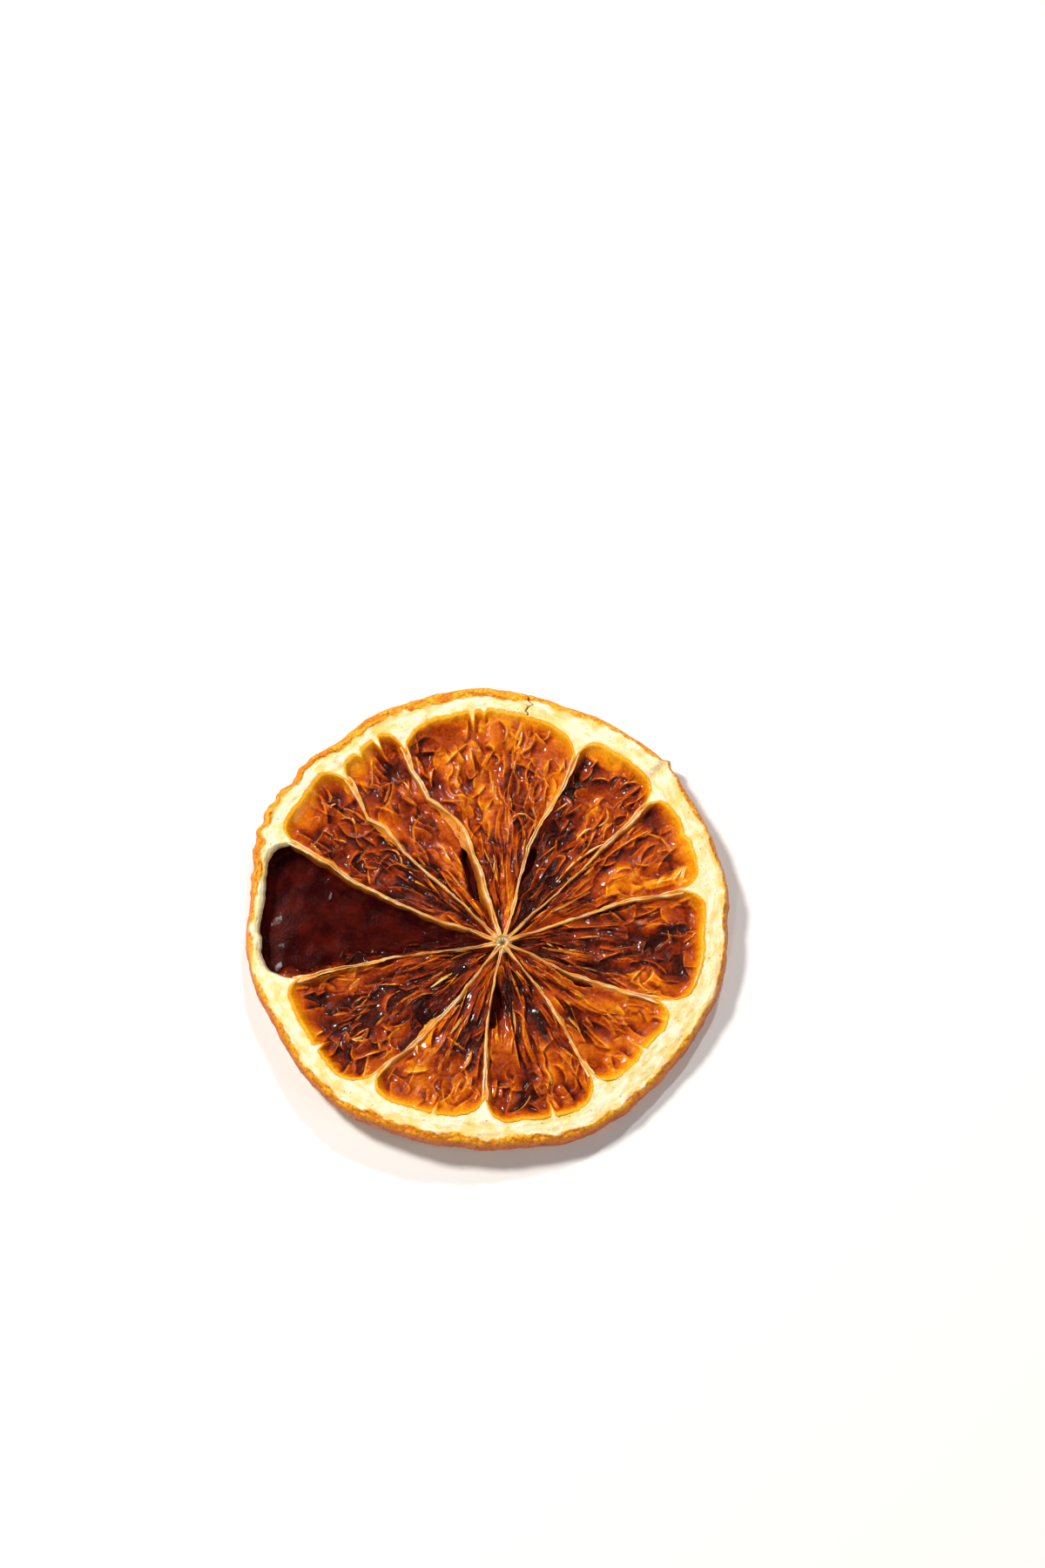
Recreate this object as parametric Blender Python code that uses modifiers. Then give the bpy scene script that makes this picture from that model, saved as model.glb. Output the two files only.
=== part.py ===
"""A dried orange slice, lying on the table with its cut face up.

The slice is one closed solid: a thick uneven ring of pith and peel, eleven segments of shrunken pulp
inside it, and the thin walls between them, which run from the ring to a core that sits off centre.

It starts as a turned blank, a flat drum from a Screw modifier. The columns of the blank run round the
slice, the same number to each segment. Its rows run from the core out over the cut face, down the peel
and back to the core underneath. Every point of the blank is then carried to its place on the dried
fruit: outwards along the curved segment walls, and up or down to the height of pulp, wall, pith or peel.

X is to the right and Y is up in the face of the slice, Z is out of its cut face.
"""

import math

import bmesh
import bpy
import numpy as np

MM = 0.001

# The slice as a whole.
SLICE_RADIUS = 32.0 * MM
RIM_THICKNESS = 4.0 * MM
CORE_X = 2.2 * MM
CORE_Y = -3.5 * MM

# One row for each segment, anticlockwise from the right: the direction of the wall that it starts at, seen
# from the core, and how far the inner half of that wall leans (degrees); the width of the pith and peel
# outside the segment, and how far its pulp has sunk below the cut face (mm).
SEGMENTS = (
    (16.4, 4.7, 3.1, 1.7),
    (44.9, 0.0, 3.5, 1.8),
    (69.4, 4.0, 3.6, 1.5),
    (116.0, -6.0, 3.1, 1.8),
    (132.8, 2.0, 2.9, 1.7),
    (154.2, 4.5, 1.4, 2.9),
    (191.0, -3.0, 3.2, 1.8),
    (228.0, 4.0, 3.8, 1.5),
    (264.0, -4.0, 3.3, 1.9),
    (303.0, 3.0, 3.9, 1.6),
    (339.0, -3.0, 3.2, 1.8),
)

# Walls that have bent as they dried: the wall, then shares of the way from core to pith, each with how far
# the wall has moved anticlockwise there (degrees).
WALL_BENDS = (
    (2, ((0, 0), (0.3, 1.4), (0.55, 1.2), (0.74, -0.4), (0.86, -0.6), (1, 0))),
    (3, ((0, 0), (0.33, -4.4), (0.46, -3.7), (0.58, -2.2), (0.68, 0.5), (0.76, 2.8), (0.84, 1.2), (1, 0.2))),
    (4, ((0, 0), (0.4, 0.5), (0.6, 2.0), (0.74, 0.2), (0.82, 3.0), (0.9, 1.5), (1, 0))),
)

# Pockets where pulp has torn away beside a wall: the segment, its wall (0 first, 1 second), the shares of
# the way from core to pith where the pocket starts, is widest and ends, and its width there (mm).
POCKETS = (
    (3, 0, 0.08, 0.30, 0.66, 2.6),
    (1, 1, 0.26, 0.40, 0.56, 1.3),
    (8, 0, 0.16, 0.36, 0.62, 1.9),
    (9, 1, 0.32, 0.46, 0.66, 1.4),
)
POCKET_FLOOR = 0.8 * MM
POCKET_EDGE = 0.5 * MM

# Places where the outline stands out or dips: direction from the middle (degrees), height (mm), and reach
# either side (degrees).
OUTLINE_BUMPS = (
    (6.0, 0.45, 5.0),
    (40.0, 0.35, 7.0),
    (70.0, -0.25, 9.0),
    (91.5, 0.55, 7.0),
    (127.0, -0.5, 5.5),
    (138.0, 0.35, 5.0),
    (154.0, 0.75, 8.0),
    (174.0, -0.8, 9.0),
    (208.0, -0.5, 10.0),
    (232.0, 0.3, 9.0),
    (268.0, -0.9, 22.0),
    (290.0, 0.3, 7.0),
    (317.0, -0.4, 11.0),
    (343.0, 0.3, 8.0),
)
OUTLINE_FINE = 0.16 * MM
OUTLINE_SEED = 5

# The pith: how far it runs in along each wall, and how blunt the outer end of a segment is.
WEDGE_DEPTH = 3.2 * MM
WEDGE_POWER = 7.0

# Heights below the cut face, and how quickly the surface falls away from pith and walls.
LIP_DROP = 0.25 * MM
LIP_FALL = 0.9 * MM
WALL_DROP = 0.5 * MM
WALL_SAG = 0.8 * MM
WALL_HALF_WIDTH = 0.45 * MM
HUB_DROP = 1.3 * MM
HUB_RADIUS = 1.7 * MM
LEAST_FILM = 0.45 * MM

# The shrunken juice sacs: long lumps that point at the core, and finer creases over them.
SACS_PER_RADIAN = 9.0
CREASES_PER_RADIAN = 21.0
SAC_LENGTH = 3.2 * MM
SAC_HEIGHT = 0.55 * MM
CREASE_HEIGHT = 0.5 * MM
SAC_START = 5.0 * MM
SAC_SEED = 11
CREASE_SEED = 23

# The underside has the same build, with the pulp nearer the cut face.
UNDER_RISE = 0.9 * MM
UNDER_WALL = 0.45 * MM
UNDER_SAC_HEIGHT = 0.3 * MM
UNDER_SEED = 31

# The uneven cut face of the pith.
PITH_LUMP = 2.4 * MM
PITH_LUMP_HEIGHT = 0.16 * MM
PITH_SEED = 41

# The peel between the two cut faces.
PEEL_BULGE = 0.3 * MM
PEEL_CORNER = 0.35 * MM

# The way the slice has warped: three low places round the rim, a saddle, and one stretch curled down.
THREE_LOBE = 0.6 * MM
THREE_LOBE_LOW = 75.0
SADDLE = 0.35 * MM
SADDLE_HIGH = 20.0
CURL_DEPTH = 1.3 * MM
CURL_START = 24.0 * MM
CURL_DIRECTION = 182.0
CURL_SPREAD = 15.0
REST_FLAT = 0.2 * MM

# The rim has cracked across in two places, and the stretch between them stands proud.
PROUD_FROM = 41.0
PROUD_TO = 134.0
PROUD_HEIGHT = 0.45 * MM
PROUD_EDGE = 3.0
PROUD_START = 22.0 * MM

# The mesh of the blank.
COLUMNS_PER_SEGMENT = 14
COLUMN_CROWDING = 0.75
PULP_SHARE = 0.8
PULP_ROWS = 17
RIM_ROWS = 4
PEEL_ROWS = 4
UNDER_PULP_ROWS = 9
UNDER_RIM_ROWS = 3

COLUMNS = COLUMNS_PER_SEGMENT * len(SEGMENTS)
WALL_ANGLES = np.radians([row[0] for row in SEGMENTS] + [SEGMENTS[0][0] + 360.0])
WALL_LEANS = np.radians([row[1] for row in SEGMENTS] + [SEGMENTS[0][1]])
RIM_WIDTHS = np.array([row[2] for row in SEGMENTS]) * MM
SINKS = np.array([row[3] for row in SEGMENTS]) * MM


def clear_scene():
    for obj in list(bpy.data.objects):
        bpy.data.objects.remove(obj)


def ease(share):
    """0 to 1 with a level start and end."""
    share = np.clip(share, 0.0, 1.0)
    return share * share * (3.0 - 2.0 * share)


def lattice(column, row, seed):
    """A fixed value from -1 to 1 for each whole-numbered place."""
    mixed = (column * 374761393 + row * 668265263 + seed * 974634777) & 0xFFFFFFFF
    mixed = ((mixed ^ (mixed >> 13)) * 1274126177) & 0xFFFFFFFF
    return ((mixed ^ (mixed >> 16)) & 0xFFFF) / 32767.5 - 1.0


def lumps(x, y, seed):
    """Smooth uneven ground from -1 to 1, with lumps about one unit across."""
    column = np.floor(x).astype(np.int64)
    row = np.floor(y).astype(np.int64)
    across = ease(x - column)
    along = ease(y - row)
    near = lattice(column, row, seed) * (1 - across) + lattice(column + 1, row, seed) * across
    far = lattice(column, row + 1, seed) * (1 - across) + lattice(column + 1, row + 1, seed) * across
    return near * (1 - along) + far * along


def degrees_from(direction, place):
    """The turn from a place given in degrees to a direction in radians, from -180 to 180 degrees."""
    return (np.degrees(direction) - place + 180.0) % 360.0 - 180.0


def outline_radius(direction):
    """How far the peel is from the middle of the slice, in a direction seen from the middle."""
    radius = np.full_like(direction, SLICE_RADIUS)
    for place, height, spread in OUTLINE_BUMPS:
        turn = degrees_from(direction, place)
        radius = radius + height * MM * np.exp(-((turn / spread) ** 2))
    fine = lumps(9.0 * np.cos(direction) + 40.0, 9.0 * np.sin(direction) + 40.0, OUTLINE_SEED)
    return radius + OUTLINE_FINE * fine


def reach(direction):
    """How far the peel is from the core, in a direction seen from the core."""
    near = np.zeros_like(direction)
    far = np.full_like(direction, 1.4 * SLICE_RADIUS)
    for _ in range(26):
        middle = (near + far) / 2
        x = CORE_X + middle * np.cos(direction)
        y = CORE_Y + middle * np.sin(direction)
        inside = np.hypot(x, y) < outline_radius(np.arctan2(y, x))
        near = np.where(inside, middle, near)
        far = np.where(inside, far, middle)
    return near


def wall_direction(wall, share):
    """The direction of a wall, at a share of the way from the core to the pith."""
    direction = WALL_ANGLES[wall] + WALL_LEANS[wall] * ease((1.0 - share) / 0.55)
    for bent, rows in WALL_BENDS:
        places, turns = zip(*rows)
        moved = np.radians(np.interp(share, places, turns))
        direction = direction + np.where(wall % len(SEGMENTS) == bent, moved, 0.0)
    return direction


def rim_width(segment, across):
    """The width of pith and peel outside a segment, with the wedge of pith that runs in along each wall."""
    count = len(SEGMENTS)
    own = RIM_WIDTHS[segment]
    beside = np.where(across < 0.5, RIM_WIDTHS[(segment - 1) % count], RIM_WIDTHS[(segment + 1) % count])
    at_wall = np.abs(2.0 * across - 1.0) ** WEDGE_POWER
    return own * (1.0 - at_wall) + at_wall * (0.5 * (own + beside) + WEDGE_DEPTH)


def pocket_share(segment, share, to_first, to_second):
    """1 inside a pocket where the pulp has torn away, 0 outside."""
    inside = np.zeros_like(share)
    for home, side, start, widest, end, width in POCKETS:
        opening = np.minimum((share - start) / (widest - start), (end - share) / (end - widest))
        reached = width * MM * ease(opening)
        to_wall = to_second if side else to_first
        here = ease((reached - to_wall) / POCKET_EDGE) * (segment == home)
        inside = np.maximum(inside, here)
    return inside


def warp(x, y):
    """How far the drying has lifted or lowered the slice at a place."""
    direction = np.arctan2(y, x)
    out = np.hypot(x, y) / SLICE_RADIUS
    lobes = THREE_LOBE * out**3 * np.cos(3 * (direction - math.radians(THREE_LOBE_LOW)))
    saddle = SADDLE * out**2 * np.cos(2 * (direction - math.radians(SADDLE_HIGH)))
    turn = degrees_from(direction, CURL_DIRECTION)
    rim = (np.hypot(x, y) - CURL_START) / (SLICE_RADIUS - CURL_START)
    curl = CURL_DEPTH * np.exp(-((turn / CURL_SPREAD) ** 2)) * np.clip(rim, 0.0, 1.2) ** 1.5
    past_start = ease(degrees_from(direction, PROUD_FROM) / PROUD_EDGE)
    before_end = ease(-degrees_from(direction, PROUD_TO) / PROUD_EDGE)
    proud = ease((np.hypot(x, y) - PROUD_START) / (SLICE_RADIUS - PROUD_START))
    return saddle - lobes - curl + PROUD_HEIGHT * past_start * before_end * proud


def settled(points, underneath):
    """The slice set down on its three lowest places, each worn to a small flat where it touches."""
    direction = np.degrees(np.arctan2(points[:, 1], points[:, 0])) - THREE_LOBE_LOW + 60.0
    third = np.floor((direction % 360.0) / 120.0).astype(int)
    feet = []
    for number in range(3):
        low = np.where(underneath & (third == number), points[:, 2], np.inf)
        feet.append(points[np.argmin(low)])
    ground = np.column_stack([np.array(feet)[:, :2], np.ones(3)])
    slope_x, slope_y, base = np.linalg.solve(ground, np.array(feet)[:, 2])
    height = points[:, 2] - slope_x * points[:, 0] - slope_y * points[:, 1] - base
    height = height - height.min() - REST_FLAT
    return np.column_stack([points[:, :2], np.maximum(height, 0.0)])


def pulp_heights(direction, from_core, to_pith, share, sink, to_first, to_second, pocket):
    """The height of the cut face and of the underside inside the pith, before the slice warps."""
    along = from_core / SAC_LENGTH
    sacs = lumps(direction * SACS_PER_RADIAN + 60.0, along + 60.0, SAC_SEED)
    creases = lumps(direction * CREASES_PER_RADIAN + 60.0, 1.6 * along + 60.0, CREASE_SEED)
    ground = (SAC_HEIGHT * sacs + CREASE_HEIGHT * creases) * ease(from_core / SAC_START)
    at_wall = np.exp(-((np.minimum(to_first, to_second) / WALL_HALF_WIDTH) ** 1.4))
    at_rim = np.exp(-to_pith * (1 - share) / LIP_FALL)

    pulp = RIM_THICKNESS - sink + ground
    pulp = pulp + (POCKET_FLOOR - pulp) * pocket
    crest = RIM_THICKNESS - WALL_DROP - WALL_SAG * np.sin(math.pi * share)
    top = pulp + (crest - pulp) * at_wall
    top = top + (RIM_THICKNESS - HUB_DROP - top) * np.exp(-((from_core / HUB_RADIUS) ** 2))
    top = top + (RIM_THICKNESS - LIP_DROP - top) * at_rim

    under_sacs = lumps(direction * SACS_PER_RADIAN + 90.0, along + 90.0, UNDER_SEED)
    under = UNDER_RISE + UNDER_SAC_HEIGHT * under_sacs * ease(from_core / SAC_START)
    under = under + (UNDER_WALL - under) * at_wall
    under = under * (1.0 - at_rim)
    return top, np.minimum(under, top - LEAST_FILM)


def turned_blank():
    """The drum: flat faces at the rim's thickness and at 0, with a ring of points for each row of the slice."""
    pulp_edge = PULP_SHARE * SLICE_RADIUS
    top = [(pulp_edge * row / PULP_ROWS, RIM_THICKNESS) for row in range(PULP_ROWS)]
    top += [
        (pulp_edge + (SLICE_RADIUS - pulp_edge) * row / RIM_ROWS, RIM_THICKNESS)
        for row in range(RIM_ROWS + 1)
    ]
    side = [
        (SLICE_RADIUS, RIM_THICKNESS * (1 - row / PEEL_ROWS)) for row in range(1, PEEL_ROWS)
    ]
    under = [
        (SLICE_RADIUS + (pulp_edge - SLICE_RADIUS) * row / UNDER_RIM_ROWS, 0.0)
        for row in range(UNDER_RIM_ROWS)
    ]
    under += [
        (pulp_edge * (1 - row / UNDER_PULP_ROWS), 0.0) for row in range(UNDER_PULP_ROWS + 1)
    ]

    shape = bmesh.new()
    points = [shape.verts.new((radius, 0.0, height)) for radius, height in top + side + under]
    for point, following in zip(points, points[1:]):
        shape.edges.new((point, following))
    profile = bpy.data.meshes.new("slice_profile")
    shape.to_mesh(profile)
    shape.free()

    turned = bpy.data.objects.new("slice_profile", profile)
    bpy.context.scene.collection.objects.link(turned)
    screw = turned.modifiers.new("turn", "SCREW")
    screw.axis = "Z"
    screw.angle = 2 * math.pi
    screw.steps = COLUMNS
    screw.render_steps = COLUMNS
    screw.use_merge_vertices = True
    screw.merge_threshold = 0.00001
    graph = bpy.context.evaluated_depsgraph_get()
    blank = bpy.data.meshes.new_from_object(turned.evaluated_get(graph))
    bpy.data.objects.remove(turned)
    return blank


def segment_columns(x, y):
    """The segment of each point of the blank, and how far across it the point is, with more columns at the
    walls."""
    column = np.rint(np.arctan2(y, x) % (2 * math.pi) / (2 * math.pi / COLUMNS)).astype(int) % COLUMNS
    segment = column // COLUMNS_PER_SEGMENT
    across = (column % COLUMNS_PER_SEGMENT) / COLUMNS_PER_SEGMENT
    crowded = (1.0 - np.cos(math.pi * across)) / 2.0
    return segment, across + (crowded - across) * COLUMN_CROWDING


def carried(points):
    """The points of the blank, carried to their places on the dried slice."""
    segment, across = segment_columns(points[:, 0], points[:, 1])
    out = np.hypot(points[:, 0], points[:, 1]) / SLICE_RADIUS
    in_pulp = out < PULP_SHARE - 1e-6
    share = np.clip(out / PULP_SHARE, 0.0, 1.0)
    rim_share = np.clip((out - PULP_SHARE) / (1.0 - PULP_SHARE), 0.0, 1.0)
    level = points[:, 2] / RIM_THICKNESS

    first, second = wall_direction(segment, share), wall_direction(segment + 1, share)
    direction = first + (second - first) * across
    to_peel = reach(direction)
    to_pith = to_peel - rim_width(segment, across)
    distance = np.where(in_pulp, to_pith * share, to_pith + (to_peel - to_pith) * rim_share)
    on_peel = (level > 1e-6) & (level < 1 - 1e-6)
    distance = distance + np.where(on_peel, PEEL_BULGE * np.sin(math.pi * level), 0.0)
    x = CORE_X + distance * np.cos(direction)
    y = CORE_Y + distance * np.sin(direction)

    to_first = across * (second - first) * distance
    to_second = (1.0 - across) * (second - first) * distance
    pocket = pocket_share(segment, share, to_first, to_second)
    sink = SINKS[segment]
    top, under = pulp_heights(direction, distance, to_pith, share, sink, to_first, to_second, pocket)
    rounding = PEEL_CORNER * rim_share**6
    uneven = PITH_LUMP_HEIGHT * lumps(x / PITH_LUMP + 80.0, y / PITH_LUMP + 80.0, PITH_SEED)
    pith = RIM_THICKNESS - LIP_DROP * (1.0 - ease(rim_share * 3.0)) - rounding
    top = np.where(in_pulp, top, pith + uneven * ease(rim_share * 3.0))
    under = np.where(in_pulp, under, rounding)
    height = under + (top - under) * level + warp(x, y)
    return settled(np.column_stack([x, y, height]), level < 1e-6)


def centred(points):
    """The points with the middle of their outline over the origin."""
    middle = (points[:, :2].min(axis=0) + points[:, :2].max(axis=0)) / 2
    return points - np.append(middle, 0.0)


def dried_fruit_material():
    """Amber pulp and peel: dry, slightly glossy where the juice has set."""
    material = bpy.data.materials.new("dried_orange")
    material.use_nodes = True
    shader = material.node_tree.nodes["Principled BSDF"]
    shader.inputs["Base Color"].default_value = (0.58, 0.22, 0.03, 1.0)
    shader.inputs["Roughness"].default_value = 0.45
    shader.inputs["Metallic"].default_value = 0.0
    return material


def build_slice():
    blank = turned_blank()
    flat = np.empty(len(blank.vertices) * 3, np.float32)
    blank.vertices.foreach_get("co", flat)
    placed = centred(carried(flat.reshape(-1, 3).astype(float)))
    blank.vertices.foreach_set("co", placed.astype(np.float32).ravel())
    blank.update()
    blank.name = "dried_orange_slice"
    blank.materials.append(dried_fruit_material())
    blank.shade_smooth()

    group = bpy.data.collections.new("dried_orange_slice")
    bpy.context.scene.collection.children.link(group)
    fruit = bpy.data.objects.new("dried_orange_slice", blank)
    group.objects.link(fruit)
    return fruit


def main():
    clear_scene()
    build_slice()


main()
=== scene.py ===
"""A dried orange slice as it looks: cream pith under a pitted zest, thin pale walls, and pulp that has dried
to crumpled amber skins. Sizes are in millimetres unless a name says otherwise, and a finished mesh is in
metres.

Every surface is worked out on the flat, round slice first, from the core outwards. Then it takes the warp
that the frame's solid has, and comes to rest on the same three low places.
"""

import math
from types import SimpleNamespace

import bpy
import numpy as np
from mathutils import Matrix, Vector
from mathutils.bvhtree import BVHTree


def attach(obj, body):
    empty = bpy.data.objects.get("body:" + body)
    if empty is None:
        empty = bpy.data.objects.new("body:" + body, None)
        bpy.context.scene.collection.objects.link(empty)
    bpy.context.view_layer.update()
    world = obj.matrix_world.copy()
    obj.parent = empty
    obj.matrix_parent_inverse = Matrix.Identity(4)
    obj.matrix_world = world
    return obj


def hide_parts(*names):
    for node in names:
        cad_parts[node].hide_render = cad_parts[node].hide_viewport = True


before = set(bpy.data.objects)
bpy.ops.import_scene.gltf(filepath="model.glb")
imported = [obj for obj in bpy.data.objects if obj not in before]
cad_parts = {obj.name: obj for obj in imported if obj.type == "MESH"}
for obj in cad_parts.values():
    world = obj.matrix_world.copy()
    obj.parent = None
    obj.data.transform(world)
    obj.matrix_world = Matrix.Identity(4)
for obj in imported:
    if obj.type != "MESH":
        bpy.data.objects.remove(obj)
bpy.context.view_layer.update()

NODE = "dried_orange_slice"
METRE = 0.001

# The slice, with the same driving sizes as its solid.
SLICE_RADIUS = 32.0
RIM_THICKNESS = 4.0
CORE_X = 2.2
CORE_Y = -3.5

# One row for each segment, anticlockwise from the right: the direction of the wall that it starts at, seen
# from the core, and how far the inner half of that wall leans (degrees); the width of pith and peel outside
# it, and how far its pulp has sunk; then how thin its pulp is and how smooth (0 to 1).
SEGMENTS = (
    (16.4, 4.7, 3.1, 1.7, 0.47, 0.35),
    (44.9, 0.0, 3.5, 1.8, 0.37, 0.10),
    (69.4, 4.0, 3.6, 1.5, 0.49, 0.30),
    (116.0, -6.0, 3.1, 1.8, 0.43, 0.10),
    (132.8, 2.0, 2.9, 1.7, 0.35, 0.30),
    (154.2, 4.5, 1.4, 2.9, 0.25, 0.85),
    (191.0, -3.0, 3.2, 1.8, 0.42, 0.20),
    (228.0, 4.0, 3.8, 1.5, 0.47, 0.25),
    (264.0, -4.0, 3.3, 1.9, 0.40, 0.15),
    (303.0, 3.0, 3.9, 1.6, 0.49, 0.30),
    (339.0, -3.0, 3.2, 1.8, 0.38, 0.10),
)
EMPTY_SEGMENT = 5
COUNT = len(SEGMENTS)

# Walls that have bent as they dried: the wall, then shares of the way from core to pith, each with how far
# the wall has moved anticlockwise there (degrees).
WALL_BENDS = (
    (2, ((0, 0), (0.3, 1.4), (0.55, 1.2), (0.74, -0.4), (0.86, -0.6), (1, 0))),
    (3, ((0, 0), (0.33, -4.4), (0.46, -3.7), (0.58, -2.2), (0.68, 0.5), (0.76, 2.8), (0.84, 1.2), (1, 0.2))),
    (4, ((0, 0), (0.4, 0.5), (0.6, 2.0), (0.74, 0.2), (0.82, 3.0), (0.9, 1.5), (1, 0))),
)

# Pockets torn out of the pulp beside a wall: the segment, its wall (0 first, 1 second), the shares of the way
# from core to pith where the pocket starts, is widest and ends, and its width there.
POCKETS = (
    (3, 0, 0.08, 0.30, 0.66, 2.6),
    (1, 1, 0.26, 0.40, 0.56, 1.3),
    (8, 0, 0.16, 0.36, 0.62, 1.9),
    (9, 1, 0.32, 0.46, 0.66, 1.4),
)
POCKET_FLOOR = 0.8
POCKET_EDGE = 0.5

# Where the outline stands out or dips: direction from the middle (degrees), height, reach (degrees).
OUTLINE_BUMPS = (
    (6.0, 0.45, 5.0),
    (40.0, 0.35, 7.0),
    (70.0, -0.25, 9.0),
    (91.5, 0.55, 7.0),
    (127.0, -0.5, 5.5),
    (138.0, 0.35, 5.0),
    (154.0, 0.75, 8.0),
    (174.0, -0.8, 9.0),
    (208.0, -0.5, 10.0),
    (232.0, 0.3, 9.0),
    (268.0, -0.9, 22.0),
    (290.0, 0.3, 7.0),
    (317.0, -0.4, 11.0),
    (343.0, 0.3, 8.0),
)
OUTLINE_FINE = 0.16

# How far the pith runs in along a wall and how sharply, how far below the rim the pulp meets it and within
# what distance it drops from there, how far below the rim a wall is at its ends and how much more between
# them, how high the underside lies, and the thinnest film.
WEDGE_DEPTH = 3.2
WEDGE_POWER = 7.0
LIP_DROP = 0.25
LIP_FALL = 0.9
WALL_DROP = 0.5
WALL_SAG = 0.8
UNDER_RISE = 0.9
LEAST_FILM = 0.35

# The warp of the solid: its three lobes, its saddle, the rim curled down at one side and the stretch of rim
# that stands proud between two ragged steps. Then the slope on which it comes to rest, and its middle.
THREE_LOBE = 0.6
THREE_LOBE_LOW = 75.0
SADDLE = 0.35
SADDLE_HIGH = 20.0
CURL_DEPTH = 1.3
CURL_START = 24.0
CURL_DIRECTION = 182.0
CURL_SPREAD = 15.0
PROUD_FROM = 41.0
PROUD_TO = 134.0
PROUD_HEIGHT = 0.45
PROUD_EDGE = 2.2
PROUD_START = 22.0
STEP_RAGGED = 0.8
STEP_LUMPS = 1.2
SETTLE_X = -0.01744
SETTLE_Y = -0.01432
SETTLE_LIFT = 0.552
MIDDLE_X = 0.232
MIDDLE_Y = 0.637

# The crack across the pith, and pith that has run down onto the pulp: direction from the core (degrees), how
# far it runs in, and its half width (degrees).
CRACK_DIRECTION = 84.2
CRACK_HALF_WIDTH = 0.08
CRACK_DEPTH = 0.6
SPURS = (
    (97.4, 1.7, 0.5),
    (94.5, 0.7, 0.6),
    (126.6, 0.7, 0.6),
    (121.4, 1.7, 0.5),
    (31.5, 0.5, 1.5),
    (211.0, 1.1, 0.6),
    (249.0, 0.8, 0.5),
    (286.0, 1.2, 0.6),
    (322.0, 0.8, 0.6),
)

# By direction from the middle (degrees): the width of the zest on the cut face, and how far the painted
# golden glow reaches into the pulp from the pith.
RIM_LOOKS = (
    (0.0, 0.50, 1.7),
    (20.0, 0.50, 2.1),
    (33.0, 0.55, 1.0),
    (42.0, 0.60, 1.3),
    (54.0, 0.80, 1.3),
    (66.0, 1.00, 1.9),
    (80.0, 1.20, 1.1),
    (95.0, 1.35, 0.8),
    (110.0, 1.30, 0.5),
    (118.0, 1.25, 0.8),
    (127.0, 1.20, 2.0),
    (140.0, 1.05, 1.8),
    (152.0, 1.00, 1.7),
    (162.0, 0.95, 1.3),
    (180.0, 0.55, 1.2),
    (205.0, 0.55, 1.5),
    (230.0, 0.90, 0.8),
    (262.0, 1.10, 1.4),
    (290.0, 0.90, 0.8),
    (320.0, 0.55, 1.5),
    (345.0, 0.40, 1.0),
)

WALL_ANGLES = np.radians([row[0] for row in SEGMENTS] + [SEGMENTS[0][0] + 360.0])
WALL_LEANS = np.radians([row[1] for row in SEGMENTS] + [SEGMENTS[0][1]])
RIM_WIDTHS = np.array([row[2] for row in SEGMENTS])


# Noise and blending.


def ease(share):
    """0 to 1 with a level start and end."""
    share = np.clip(share, 0.0, 1.0)
    return share * share * (3.0 - 2.0 * share)


def mix(first, second, share):
    """What lies at a share of the way from the first to the second."""
    return first + (second - first) * share


def lattice(column, row, seed):
    """A fixed value from -1 to 1 for each whole-numbered place."""
    mixed = (column * 374761393 + row * 668265263 + seed * 974634777) & 0xFFFFFFFF
    mixed = ((mixed ^ (mixed >> 13)) * 1274126177) & 0xFFFFFFFF
    return ((mixed ^ (mixed >> 16)) & 0xFFFF) / 32767.5 - 1.0


def lumps(x, y, seed):
    """Smooth uneven ground from -1 to 1, with lumps about one unit across."""
    column = np.floor(x).astype(np.int64)
    row = np.floor(y).astype(np.int64)
    across = ease(x - column)
    along = ease(y - row)
    near = mix(lattice(column, row, seed), lattice(column + 1, row, seed), across)
    far = mix(lattice(column, row + 1, seed), lattice(column + 1, row + 1, seed), across)
    return mix(near, far, along)


def rough(x, y, seed, layers=3):
    """Lumps with finer lumps on them, from about -1 to 1."""
    total = np.zeros_like(x + y)
    weight = 1.0
    for layer in range(layers):
        total = total + weight * lumps(x + 17.3 * layer, y - 9.1 * layer, seed + 7 * layer)
        x, y = 1.7 * x - 1.2 * y, 1.2 * x + 1.7 * y
        weight *= 0.5
    return total / (2.0 - 2.0 * weight)


def uneven(x, y, size, seed, layers=3):
    """Rough ground with lumps of a size in millimetres."""
    return rough(x / size, y / size, seed, layers)


def around(direction, scale, seed, layers=3):
    """Rough ground on a circle, so that it meets itself."""
    return rough(scale * np.cos(direction) + 60.0, scale * np.sin(direction) + 60.0, seed, layers)


def along_rim(direction, size, across, seed, layers=3):
    """Rough ground that follows the rim, with lumps of a size in millimetres. It meets itself at the left."""
    own = rough(direction * SLICE_RADIUS / size, across, seed, layers)
    from_start = rough((direction - 2.0 * math.pi) * SLICE_RADIUS / size, across, seed, layers)
    return mix(own, from_start, ease((direction - 3.0) / (math.pi - 3.0)))


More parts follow.
